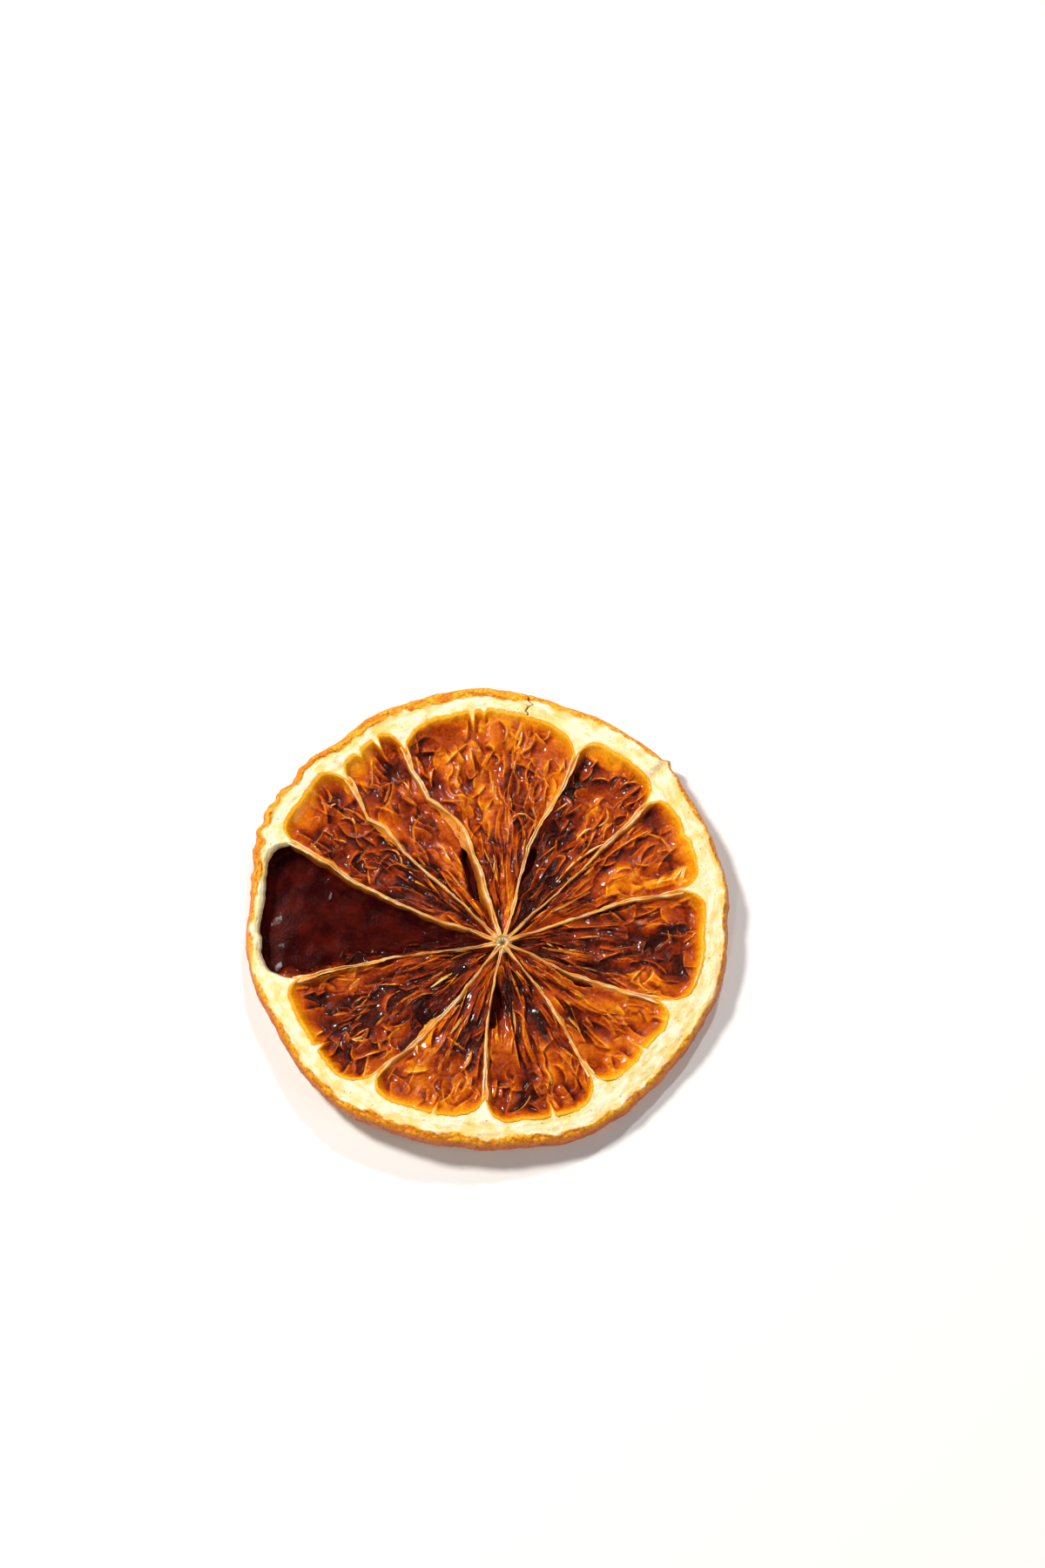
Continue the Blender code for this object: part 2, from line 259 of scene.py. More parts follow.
def cell_edges(x, y, size, seed):
    """How far a point is from the edge between the cells of an uneven grid, whose sites are a size apart."""
    p, q = x / size, y / size
    column = np.floor(p).astype(np.int64)
    row = np.floor(q).astype(np.int64)
    first, second = np.full(p.shape, 1e9), np.full(p.shape, 1e9)
    first_site, second_site = np.zeros(p.shape + (2,)), np.zeros(p.shape + (2,))
    for step_p in (-1, 0, 1):
        for step_q in (-1, 0, 1):
            c, r = column + step_p, row + step_q
            site_p = c + 0.5 + 0.42 * lattice(c, r, seed)
            site_q = r + 0.5 + 0.42 * lattice(c, r, seed + 1) + 0.5 * (c % 2)
            away = (p - site_p) ** 2 + (q - site_q) ** 2
            site = np.stack([site_p, site_q], axis=-1)
            nearest = away < first
            next_nearest = ~nearest & (away < second)
            second = np.where(nearest, first, np.where(next_nearest, away, second))
            second_site = np.where(next_nearest[..., None], site, second_site)
            second_site = np.where(nearest[..., None], first_site, second_site)
            first = np.where(nearest, away, first)
            first_site = np.where(nearest[..., None], site, first_site)
    between = np.linalg.norm(second_site - first_site, axis=-1)
    return size * (second - first) / (2.0 * np.maximum(between, 1e-6))


# The flat slice.


def degrees_from(direction, place):
    """The turn from a place given in degrees to a direction in radians, from -180 to 180 degrees."""
    return (np.degrees(direction) - place + 180.0) % 360.0 - 180.0


def from_core(direction, distance):
    """A place on the flat slice, by its direction and distance from the core."""
    return CORE_X + distance * np.cos(direction), CORE_Y + distance * np.sin(direction)


def turned(x, y, turn):
    """How far along a line and over it to its left a point is, for a line that runs through the origin at a
    turn (degrees)."""
    c, s = math.cos(math.radians(turn)), math.sin(math.radians(turn))
    return x * c + y * s, y * c - x * s


def outline_radius(direction):
    """How far the peel is from the middle of the slice, in a direction seen from the middle."""
    radius = np.full_like(direction, SLICE_RADIUS)
    for place, height, spread in OUTLINE_BUMPS:
        radius = radius + height * np.exp(-((degrees_from(direction, place) / spread) ** 2))
    return radius + OUTLINE_FINE * lumps(9.0 * np.cos(direction) + 40.0, 9.0 * np.sin(direction) + 40.0, 5)


def reach_table(steps=4320):
    """How far the peel is from the core, for directions all round the core."""
    direction = np.linspace(0.0, 2.0 * math.pi, steps, endpoint=False)
    near = np.zeros(steps)
    far = np.full(steps, 1.4 * SLICE_RADIUS)
    for _ in range(30):
        middle = (near + far) / 2
        x, y = from_core(direction, middle)
        inside = np.hypot(x, y) < outline_radius(np.arctan2(y, x))
        near = np.where(inside, middle, near)
        far = np.where(inside, far, middle)
    return direction, near


REACH_DIRECTIONS, REACHES = reach_table()


def reach(direction):
    """How far the peel is from the core, in a direction seen from the core."""
    return np.interp(direction, REACH_DIRECTIONS, REACHES, period=2.0 * math.pi)


def wall_direction(wall, share):
    """The direction of a wall, at a share of the way from the core to the pith."""
    direction = WALL_ANGLES[wall] + WALL_LEANS[wall] * ease((1.0 - share) / 0.55)
    for bent, rows in WALL_BENDS:
        if wall % COUNT == bent:
            places, turns = zip(*rows)
            direction = direction + np.radians(np.interp(share, places, turns))
    return direction


def rim_width(segment, across, direction):
    """The width of pith and peel outside a segment, with the wedge of pith that runs in along each wall."""
    own = RIM_WIDTHS[segment]
    beside = np.where(across < 0.5, RIM_WIDTHS[(segment - 1) % COUNT], RIM_WIDTHS[(segment + 1) % COUNT])
    at_wall = np.abs(2.0 * across - 1.0) ** WEDGE_POWER
    width = own * (1.0 - at_wall) + at_wall * (0.5 * (own + beside) + WEDGE_DEPTH)
    for place, depth, spread in SPURS:
        width = width + depth * np.exp(-((degrees_from(direction, place) / spread) ** 2))
    return width + 0.22 * around(direction, 11.0, 71) + 0.16 * around(direction, 48.0, 73, 2)


def place_on(segment, across, share):
    """Where a point of a segment lies on the flat slice, by how far across it is and how far out."""
    first, second = wall_direction(segment, share), wall_direction(segment + 1, share)
    direction = first + (second - first) * across
    to_pith = reach(direction) - rim_width(segment, across, direction)
    distance = to_pith * share
    x, y = from_core(direction, distance)
    return SimpleNamespace(
        x=x,
        y=y,
        direction=direction,
        distance=distance,
        to_rim=to_pith * (1.0 - share),
        to_first=across * (second - first) * distance,
        to_second=(1.0 - across) * (second - first) * distance,
        share=share + 0.0 * across,
    )


def past_step(direction, distance, place, side):
    """How far past the ragged line of a step in the rim a point is (degrees), anticlockwise with a side of 1
    and clockwise with -1."""
    ragged = STEP_RAGGED * rough(distance / STEP_LUMPS, 0.0 * distance, 93, 2)
    return degrees_from(direction, place) * side + ragged


def warped(x, y, z):
    """A point of the flat slice, moved to where the dried slice has it at rest."""
    direction = np.arctan2(y, x)
    distance = np.hypot(x, y)
    out = distance / SLICE_RADIUS
    lobes = THREE_LOBE * out**3 * np.cos(3 * (direction - math.radians(THREE_LOBE_LOW)))
    saddle = SADDLE * out**2 * np.cos(2 * (direction - math.radians(SADDLE_HIGH)))
    rim = np.clip((distance - CURL_START) / (SLICE_RADIUS - CURL_START), 0.0, 1.2)
    curl = CURL_DEPTH * np.exp(-((degrees_from(direction, CURL_DIRECTION) / CURL_SPREAD) ** 2)) * rim**1.5
    past_start = ease(past_step(direction, distance, PROUD_FROM, 1.0) / PROUD_EDGE)
    before_end = ease(past_step(direction, distance, PROUD_TO, -1.0) / PROUD_EDGE)
    proud = ease((distance - PROUD_START) / (SLICE_RADIUS - PROUD_START))
    lift = saddle - lobes - curl + PROUD_HEIGHT * past_start * before_end * proud
    height = z + lift + SETTLE_X * x + SETTLE_Y * y + SETTLE_LIFT
    return np.stack([x - MIDDLE_X, y - MIDDLE_Y, np.maximum(height, 0.0)], axis=-1)


def on_slice(direction, distance, height):
    """A point of the dried slice, by its direction and distance from the core and its height when flat."""
    return warped(*from_core(direction, distance), height)


# Meshes.


def store_values(mesh, values):
    """Gives each point of a mesh a value of its own under each title."""
    for title, own in values.items():
        layer = mesh.attributes.new(title, "FLOAT", "POINT")
        layer.data.foreach_set("value", np.asarray(own, dtype=np.float32).ravel())


def new_piece(name, points, faces, material, values):
    """A mesh object at the origin, from points in millimetres and values for each of them."""
    mesh = bpy.data.meshes.new(name)
    mesh.from_pydata((points * METRE).tolist(), [], faces)
    store_values(mesh, values)
    mesh.materials.append(material)
    mesh.shade_smooth()
    mesh.validate()
    mesh.update()
    piece = bpy.data.objects.new(name, mesh)
    bpy.context.scene.collection.objects.link(piece)
    return piece


def grid_faces(rows, columns, start=0, wrap_rows=False, wrap_columns=False):
    """Four-sided faces of a grid of points stored row by row. They face up where the rows go outwards and the
    columns anticlockwise."""
    row = np.arange(rows if wrap_rows else rows - 1)
    column = np.arange(columns if wrap_columns else columns - 1)
    r, c = np.meshgrid(row, column, indexing="ij")
    above, beside = (r + 1) % rows, (c + 1) % columns
    corners = [r * columns + c, above * columns + c, above * columns + beside, r * columns + beside]
    return start + np.stack([part.ravel() for part in corners], axis=-1)


def tube_faces(rows, columns):
    """The faces of a body made of rings of points, with a lid over the first ring and the last."""
    sides = grid_faces(rows, columns, wrap_columns=True).tolist()
    last = (rows - 1) * columns
    return sides + [list(range(columns)), list(range(last, last + columns))[::-1]]


def closed_sheet(top, under):
    """The faces of a body between two grids of the same size, the first with its face up."""
    rows, columns = top.shape[:2]
    offset = rows * columns
    up = grid_faces(rows, columns)
    down = grid_faces(rows, columns, offset)[:, ::-1]
    index = np.arange(offset).reshape(rows, columns)
    rim = np.concatenate([index[0, :-1], index[:-1, -1], index[-1, :0:-1], index[:0:-1, 0]])
    after = np.roll(rim, -1)
    side = np.stack([rim, after, after + offset, rim + offset], axis=-1)
    points = np.concatenate([top.reshape(-1, 3), under.reshape(-1, 3)])
    return points, np.concatenate([up, down, side]).tolist()


def finished(piece):
    """The piece rides with the slice and stands for its solid."""
    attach(piece, "root")
    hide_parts(NODE)
    return piece


# Materials.


def srgb(hex_colour):
    """An sRGB hex colour as linear red, green, blue and alpha."""
    parts = [int(hex_colour[i : i + 2], 16) / 255.0 for i in (1, 3, 5)]
    linear = [c / 12.92 if c <= 0.04045 else ((c + 0.055) / 1.055) ** 2.4 for c in parts]
    return (*linear, 1.0)


def set_inputs(tree, node, inputs):
    """Links a node's inputs to sockets, or sets them to values or hex colours."""
    for key, value in inputs.items():
        if isinstance(value, bpy.types.NodeSocket):
            tree.links.new(value, node.inputs[key])
        elif isinstance(value, str) and value.startswith("#"):
            node.inputs[key].default_value = srgb(value)
        else:
            node.inputs[key].default_value = value


def add_node(tree, kind, settings=None, inputs=None):
    """Adds a node, sets its properties, and sets or links its inputs."""
    node = tree.nodes.new(kind)
    for name, value in (settings or {}).items():
        setattr(node, name, value)
    set_inputs(tree, node, inputs or {})
    return node


def new_material(name):
    """A material with nodes, with its tree and its shader."""
    material = bpy.data.materials.new(name)
    material.use_nodes = True
    tree = material.node_tree
    return material, tree, tree.nodes["Principled BSDF"]


def scale_for(size):
    """The scale at which a pattern on object coordinates has lumps of a size in millimetres."""
    return 1.0 / (size * METRE)


def stained(tree, colour, stains):
    """Lays stains over a colour, one after another. Each has the pattern that places it, the values of the
    pattern where it starts and where it is in full, how strong it is there, and its colour."""
    for pattern, start, full, strength, stain in stains:
        inputs = {"Value": pattern, "From Min": start, "From Max": full, "To Max": strength}
        share = add_node(tree, "ShaderNodeMapRange", None, inputs).outputs["Result"]
        mixed = add_node(tree, "ShaderNodeMix", {"data_type": "RGBA"}, {0: share, 6: colour, 7: stain})
        colour = mixed.outputs[2]
    return colour


# What each point of the rind says of itself, from 0 to 1: zest or pith, how yellow the zest is, peel or cut
# face, how deep in a crease between oil glands, how deep in a crack (which also carries the painted shade on
# the empty segment's lip), how yellow the pith is (its stains, and painted shade in its grooves), and whether
# it is the face of a step in the rim.
RIND_VALUES = ("zest", "streak", "skin", "dent", "crack", "tint", "facet")

# The sizes of the rind's patterns: the grain and the blotches of pith and zest, and how far apart pits and
# oil glands are.
RIND_GRAIN = 0.35
RIND_BLOTCH = 2.2
PIT_SPACING = 0.9
GLAND_SPACING = 0.8


def dried_rind_material():
    """Dried citrus rind: matt cream pith, spongy, pitted, and stained yellow next to pulp and zest, under a
    waxy yellow-orange zest that has shrunk round its oil glands. The skin is redder on the outside. The
    pith's yellow also paints shade in its grooves, and its crack colour paints shade on the empty segment's
    lip."""
    material, tree, shader = new_material("dried_citrus_rind")
    zest, streak, skin, dent, crack, tint, facet = (
        add_node(tree, "ShaderNodeAttribute", {"attribute_name": title}).outputs["Fac"]
        for title in RIND_VALUES
    )
    where = add_node(tree, "ShaderNodeTexCoord").outputs["Object"]
    grain = {"Vector": where, "Detail": 3.0, "Roughness": 0.55}
    fine, coarse = (
        add_node(tree, "ShaderNodeTexNoise", None, {**grain, "Scale": scale_for(size)}).outputs["Fac"]
        for size in (RIND_GRAIN, RIND_BLOTCH)
    )
    to_pit, to_gland = (
        add_node(tree, "ShaderNodeTexVoronoi", None, {"Vector": where, "Scale": scale_for(size)}).outputs[0]
        for size in (PIT_SPACING, GLAND_SPACING)
    )
    # Pits and glands, by how far from the middle of one they start and are deepest, in their spacings.
    pits, glands = (
        add_node(tree, "ShaderNodeMapRange", None, {0: away, 1: edge, 2: bottom}).outputs["Result"]
        for away, edge, bottom in ((to_pit, 0.16, 0.06), (to_gland, 0.34, 0.12))
    )
    # The pith's yellow tint is stains by the pulp, zest and crack, and painted shade in its grooves.
    pith = stained(tree, "#FDF5D8", (
        (coarse, 0.42, 0.62, 1.0, "#F4DC98"),
        (fine, 0.52, 0.72, 0.45, "#EFD391"),
        (facet, 0.0, 1.0, 0.6, "#E4CB98"),
        (tint, 0.0, 1.0, 0.9, "#F4C043"),
        (pits, 0.0, 1.0, 0.5, "#B5843A"),
    ))
    cut_zest = stained(tree, "#E28404", (
        (streak, 0.0, 1.0, 1.0, "#FCB51A"),
        (fine, 0.5, 0.72, 0.5, "#C46C06"),
        (dent, 0.0, 1.0, 0.6, "#A65408"),
    ))
    peel = stained(tree, "#DE6C0E", (
        (coarse, 0.35, 0.65, 1.0, "#BE4A08"),
        (fine, 0.48, 0.7, 0.6, "#8E3406"),
        (glands, 0.0, 1.0, 0.55, "#7E2C06"),
    ))
    whole_zest = stained(tree, cut_zest, ((skin, 0.0, 1.0, 1.0, peel),))
    # The crack colour also paints the shade on the empty segment's lip and hollow side.
    colour = stained(tree, pith, ((zest, 0.0, 1.0, 1.0, whole_zest), (crack, 0.0, 1.0, 1.0, "#55290A")))
    shallow = add_node(tree, "ShaderNodeMath", {"operation": "MULTIPLY"}, {0: pits, 1: 0.5}).outputs[0]
    holes = add_node(tree, "ShaderNodeMath", {"operation": "MULTIPLY"}, {0: glands, 1: zest}).outputs[0]
    holes = add_node(tree, "ShaderNodeMath", {"operation": "MAXIMUM"}, {0: shallow, 1: holes}).outputs[0]
    height = add_node(tree, "ShaderNodeMath", {"operation": "SUBTRACT"}, {0: fine, 1: holes}).outputs[0]
    waxy = add_node(tree, "ShaderNodeMapRange", None, {"Value": zest, "To Min": 0.85, "To Max": 0.42})
    shine = add_node(tree, "ShaderNodeMapRange", None, {"Value": skin, "To Min": 0.22, "To Max": 0.4})
    inputs = {"Height": height, "Strength": 0.7, "Distance": 0.2 * METRE}
    bump = add_node(tree, "ShaderNodeBump", None, inputs)
    set_inputs(tree, shader, {
        "Base Color": colour,
        "Roughness": waxy.outputs["Result"],
        "Specular IOR Level": shine.outputs["Result"],
        "Subsurface Weight": 0.25,
        "Subsurface Radius": (1.0, 0.55, 0.22),
        "Subsurface Scale": 0.6 * METRE,
        "Normal": bump.outputs["Normal"],
    })
    return material


# What each point of a wall says of itself: how near it is to a cut edge and how light its side is there (0 to
# 1), and where it is along the wall, across it and up it (mm).
WALL_VALUES = ("edge", "tone", "along", "across", "up")

# Dried pulp by how thin it is, a value that also carries painted shade, highlight and glow: nearly black
# where it is folded thick and where the painted shade is deepest, then red-brown, amber and gold, and cream
# at an edge.
PULP_COLOURS = (
    (0.0, "#230603"),
    (0.15, "#4A1204"),
    (0.30, "#842704"),
    (0.45, "#B54A04"),
    (0.58, "#DA7108"),
    (0.70, "#F2980C"),
    (0.82, "#FABB2C"),
    (0.92, "#FCDE92"),
    (1.0, "#FEF3D3"),
)

# The sizes of the pulp's patterns: its grain, its blotches, and the patches where the sugar has set.
PULP_GRAIN = 0.4
PULP_BLOTCH = 2.4
SUGAR_PATCH = 1.3


def dried_pulp_material():
    """Dried orange pulp: juice sacs shrunk to crumpled translucent skins, glossy where the sugar has set. Its
    colour comes from how thin it is, with painted shade, highlight and glow laid into that value, and where
    the pulp has torn or fallen away it is a dull film, painted near black for the shade in the gap."""
    material, tree, shader = new_material("dried_citrus_pulp")
    thin, shaded_gap = (
        add_node(tree, "ShaderNodeAttribute", {"attribute_name": title}).outputs["Fac"]
        for title in ("thin", "shaded_gap")
    )
    where = add_node(tree, "ShaderNodeTexCoord").outputs["Object"]
    grain = {"Vector": where, "Detail": 3.0, "Roughness": 0.55}
    fine, coarse, sugar = (
        add_node(tree, "ShaderNodeTexNoise", None, {**grain, "Scale": scale_for(size)}).outputs["Fac"]
        for size in (PULP_GRAIN, PULP_BLOTCH, SUGAR_PATCH)
    )
    # Each row: a pattern, the values that it is read between, and what it gives at the first and the second.
    unevenness, roughness, olive, not_thick, not_gold, shine, gloss, sound = (
        add_node(tree, "ShaderNodeMapRange", None, dict(enumerate(row))).outputs["Result"]
        for row in (
            (fine, 0.3, 0.7, -0.06, 0.06),
            (fine, 0.3, 0.7, 0.24, 0.46),
            (coarse, 0.5, 0.75, 0.0, 0.4),
            (thin, 0.35, 0.55, 0.0, 1.0),
            (thin, 0.60, 0.70, 1.0, 0.15),
            (shaded_gap, 0.0, 0.8, 0.06, 0.02),
            (sugar, 0.42, 0.62, 0.10, 0.50),
            (shaded_gap, 0.0, 0.8, 1.0, 0.12),
        )
    )
    olive = add_node(tree, "ShaderNodeMath", {"operation": "MULTIPLY"}, {0: olive, 1: not_thick}).outputs[0]
    olive = add_node(tree, "ShaderNodeMath", {"operation": "MULTIPLY"}, {0: olive, 1: not_gold}).outputs[0]
    gloss = add_node(tree, "ShaderNodeMath", {"operation": "MULTIPLY"}, {0: gloss, 1: sound}).outputs[0]
    uneven = add_node(tree, "ShaderNodeMath", {"operation": "ADD"}, {0: thin, 1: unevenness}).outputs[0]
    ramp = add_node(tree, "ShaderNodeValToRGB", None, {"Fac": uneven})
    stops = ramp.color_ramp.elements
    while len(stops) < len(PULP_COLOURS):
        stops.new(0.5)
    for stop, (place, colour) in zip(stops, PULP_COLOURS):
        stop.position = place
        stop.color = srgb(colour)
    # Painted shade: the near-black film where the pulp is gone stands for the shade in the gap.
    gap_shade = stained(tree, "#2B0404", ((coarse, 0.4, 0.65, 1.0, "#4A0E06"),))
    colour = ramp.outputs["Color"]
    colour = stained(tree, colour, ((olive, 0.0, 1.0, 1.0, "#A06A12"), (shaded_gap, 0.0, 1.0, 1.0, gap_shade)))
    inputs = {"Height": fine, "Strength": 0.6, "Distance": 0.12 * METRE}
    bump = add_node(tree, "ShaderNodeBump", None, inputs)
    set_inputs(tree, shader, {
        "Base Color": colour,
        "Roughness": roughness,
        "Specular IOR Level": shine,
        "Coat Weight": gloss,
        "Coat Roughness": 0.06,
        "Subsurface Weight": 0.15,
        "Subsurface Radius": (1.0, 0.4, 0.12),
        "Subsurface Scale": 0.5 * METRE,
        "Normal": bump.outputs["Normal"],
    })
    return material


# The walls' patterns: how thick one of the fibres that run lengthwise through them is, how many times that it
# runs on, and the size of the blotches on their cut edges.
FIBRE_SIZE = 0.14
FIBRE_STRETCH = 9.0
EDGE_BLOTCH = 0.6


def dried_wall_material():
    """Dried segment wall: thin papery skin, fibrous lengthwise, cream along its cut edges and golden to amber
    below them."""
    material, tree, shader = new_material("dried_segment_wall")
    edge, tone, along, across, up = (
        add_node(tree, "ShaderNodeAttribute", {"attribute_name": title}).outputs["Fac"]
        for title in WALL_VALUES
    )
    where = add_node(tree, "ShaderNodeTexCoord").outputs["Object"]
    inputs = {"Vector": where, "Scale": scale_for(EDGE_BLOTCH), "Detail": 3.0, "Roughness": 0.55}
    blotch = add_node(tree, "ShaderNodeTexNoise", None, inputs).outputs["Fac"]
    along = add_node(tree, "ShaderNodeMath", {"operation": "DIVIDE"}, {0: along, 1: FIBRE_STRETCH}).outputs[0]
    in_wall = add_node(tree, "ShaderNodeCombineXYZ", None, {"X": along, "Y": across, "Z": up}).outputs[0]
    inputs = {"Vector": in_wall, "Scale": 1.0 / FIBRE_SIZE, "Detail": 4.0, "Roughness": 0.65}
    fibre = add_node(tree, "ShaderNodeTexNoise", None, inputs).outputs["Fac"]
    side = stained(tree, "#B24E08", (
        (tone, 0.0, 1.0, 1.0, "#F8A818"),
        (fibre, 0.5, 0.66, 0.5, "#A04606"),
        (fibre, 0.46, 0.34, 0.4, "#FFC64E"),
    ))
    top = stained(tree, "#FFF8D8", (
        (blotch, 0.45, 0.65, 1.0, "#FCDF8A"),
        (fibre, 0.5, 0.66, 0.45, "#E6AC48"),
    ))
    inputs = {"Height": fibre, "Strength": 0.6, "Distance": 0.15 * METRE}
    bump = add_node(tree, "ShaderNodeBump", None, inputs)
    set_inputs(tree, shader, {
        "Base Color": stained(tree, side, ((edge, 0.0, 1.0, 1.0, top),)),
        "Roughness": 0.45,
        "Specular IOR Level": 0.3,
        "Subsurface Weight": 0.15,
        "Subsurface Radius": (1.0, 0.45, 0.12),
        "Subsurface Scale": 0.6 * METRE,
        "Normal": bump.outputs["Normal"],
    })
    return material


# The rind.

# The flap of skin that sticks out where the rim has broken and stepped: direction from the middle (degrees),
# height and reach (degrees).
SKIN_FLAP = (41.6, 0.55, 0.9)

# The stretch of rim at the left whose skin is bumpy, and the one at the right whose pith is stained: the
# middle of each and half its length (degrees).
BUMPY_MIDDLE = 157.0
BUMPY_REACH = 17.0
STAINED_MIDDLE = 20.0
STAINED_REACH = 20.0

RIND_COLUMNS = 1040
RIND_TOP_ROWS = 42
RIND_SKIN_ROWS = 18
RIND_UNDER_ROWS = 24
RIND_INSIDE_ROWS = 8

# How far the side that the pulp meets is hollowed out, how far the lip hangs over it, how deep the lip hangs
# and how wide it is, and how far the cut face's corner lies inside the peel.
RIND_TUCK = 0.9
LIP_OVER = 0.35
LIP_DEEP = 0.8
LIP_WIDTH = 0.9
CORNER_INSET = 0.245

# How wide the edge between zest and pith is, how far the zest has shrunk below the pith, how far apart the
# oil glands in it are and how wide the creases between them, the bevel at the corner, and how far the peel
# bulges.
ZEST_EDGE = 0.25
ZEST_SHRINK = 0.24
GLANDS_APART = 0.9
CREASE_WIDTH = 0.14
BEVEL_DEPTH = 0.22
BEVEL_WIDTH = 0.6
SKIN_SWELL = 0.2

# How dark the pith is painted, as painted shade, on the lip and hollow side beside the empty segment, and
# how juicy that segment was beside the others.
EMPTY_LIP_SHADE = 0.85
EMPTY_JUICE = 0.1


def crowded_columns(count):
    """Directions all round the core, with more of them where the rind has its finest shapes."""
    dense = np.linspace(WALL_ANGLES[0], WALL_ANGLES[0] + 2.0 * math.pi, 20001)
    weight = np.ones_like(dense)
    crowds = [(wall, 1.8, 1.2) for wall in np.degrees(WALL_ANGLES[:-1])]
    crowds += [(row[0], 2.5, 1.2) for row in SPURS]
    crowds += [(PROUD_FROM + 4.0, 2.0, 4.0), (PROUD_TO - 2.0, 2.0, 4.0), (CRACK_DIRECTION, 4.0, 0.5)]
    for place, extra, spread in crowds:
        weight += extra * np.exp(-((degrees_from(dense, place) / spread) ** 2))
    total = np.concatenate([[0.0], np.cumsum((weight[1:] + weight[:-1]) / 2)])
    return np.interp(np.linspace(0.0, total[-1], count, endpoint=False), total, dense)


def zest_width(direction):
    """The width of the zest on the cut face, in a direction seen from the middle."""
    places, widths, _ = zip(*RIM_LOOKS)
    base = np.interp(np.degrees(direction), places, widths, period=360.0)
    return base * (1.0 + 0.45 * around(direction, 14.0, 83)) + 0.15 * around(direction, 45.0, 89, 2)


def crack_across(direction, distance, from_edge):
    """How deep in the crack across the pith a point is, and how far anticlockwise of its direction (mm)."""
    lane = np.radians(degrees_from(direction, CRACK_DIRECTION)) * distance
    hook = 0.5 * ease(1.0 - np.abs(from_edge - 1.5) / 0.5)
    zigzag = 0.14 * np.sin(distance * 3.1) + 0.08 * np.sin(distance * 8.3) - hook
    return np.exp(-(((lane - zigzag) / CRACK_HALF_WIDTH) ** 2)) * ease(from_edge / 0.5), lane


def step_face(seen, distance):
    """How much a point belongs to the face of a step in the rim."""
    face = np.zeros_like(seen)
    for place, side in ((PROUD_FROM, 1.0), (PROUD_TO, -1.0)):
        past = past_step(seen, distance, place, side)
        face = np.maximum(face, np.exp(-(((past - 0.6) / 0.9) ** 2)))
    return face


def rind_face(sign, rows, direction, to_pith, to_peel, zest_band, juicy):
    """The rows of a cut face of the rind, from its inner lip to the corner of the peel. The sign is 1 for the
    face that is up and -1 for the one underneath. Each row is a distance, a height and its colour values. The
    lip is stained where the pulp beside it was juicy."""
    seed = 301 if sign > 0 else 401
    made = []
    for share in np.linspace(0.0, 1.0, rows):
        distance = mix(to_pith - LIP_OVER, to_peel - CORNER_INSET, share)
        from_edge = to_peel - distance
        x, y = from_core(direction, distance)
        seen = np.arctan2(y, x)

        def noise(length, width, number):
            """Rough ground in lumps that are so long round the rim and so wide across it (mm)."""
            return along_rim(seen, length, from_edge / width, seed + number)

        in_zest = ease((zest_band - from_edge + 0.45 * noise(1.5, 0.7, 9)) / ZEST_EDGE + 0.5)
        streak = ease(0.48 + 1.5 * noise(1.7, 0.45, 13))
        gland = cell_edges(x, y, GLANDS_APART, seed + 20)
        dent = in_zest * (1.0 - ease(gland / CREASE_WIDTH))
        grooves = noise(2.4, 0.6, 15)
        swell = 0.14 * uneven(x, y, 3.2, seed + 3) + 0.10 * uneven(x, y, 0.9, seed + 5)
        swell = swell + 0.16 * grooves - 0.22
        shrink = ZEST_SHRINK * ease(1.0 - from_edge / np.maximum(zest_band, 0.2))
        shrink = shrink + (0.16 * (1.0 - streak) - 0.12 * ease(gland / 0.25)) * in_zest
        bevel = BEVEL_DEPTH * ease(1.0 - from_edge / BEVEL_WIDTH) ** 2
        crack, lane = crack_across(direction, distance, from_edge)
        crack = crack * (sign > 0)
        inner = ease((distance - to_pith + LIP_OVER) / LIP_WIDTH)
        relief = swell * inner - LIP_DEEP * (1.0 - inner) - shrink - bevel - CRACK_DEPTH * crack
        height = RIM_THICKNESS + relief if sign > 0 else -0.10 - relief

        at_pulp = juicy * np.exp(-((np.maximum(distance - to_pith, 0.0) / 0.45) ** 1.5))
        at_pulp = at_pulp * ease(0.75 + 0.9 * noise(1.6, 0.8, 19))
        stain = np.exp(-((degrees_from(seen, STAINED_MIDDLE) / STAINED_REACH) ** 2)) * (sign > 0)
        dashes = ease(0.3 + 1.8 * noise(1.3, 0.4, 17))
        patches = np.maximum(ease(0.35 + 1.5 * noise(2.0, 0.6, 11)), stain * dashes)
        at_zest = patches * np.exp(-np.maximum(from_edge - zest_band, 0.0) / (0.9 + 0.9 * stain))
        # Painted shade: the pith is yellower down in the grooves that run along the rim.
        groove_shade = 0.7 * ease(-0.1 - 2.2 * grooves)
        beside_crack = (sign > 0) * np.exp(-(((lane - 0.7) / 0.5) ** 2)) * ease(1.6 - 0.5 * from_edge)
        tint = np.maximum.reduce([0.95 * at_pulp, 0.95 * at_zest, 0.7 * beside_crack, groove_shade])
        facet = step_face(seen, distance) * (sign > 0)
        # Painted shade on the lip beside the empty segment, like the shade inside it.
        lip_shade = EMPTY_LIP_SHADE * (1.0 - juicy) * ease((to_pith + 0.1 - distance) / 0.3)
        values = (in_zest, streak, 0.0, dent, np.maximum(crack, lip_shade), tint, facet)
        made.append((distance, height, dict(zip(RIND_VALUES, values))))
    return made


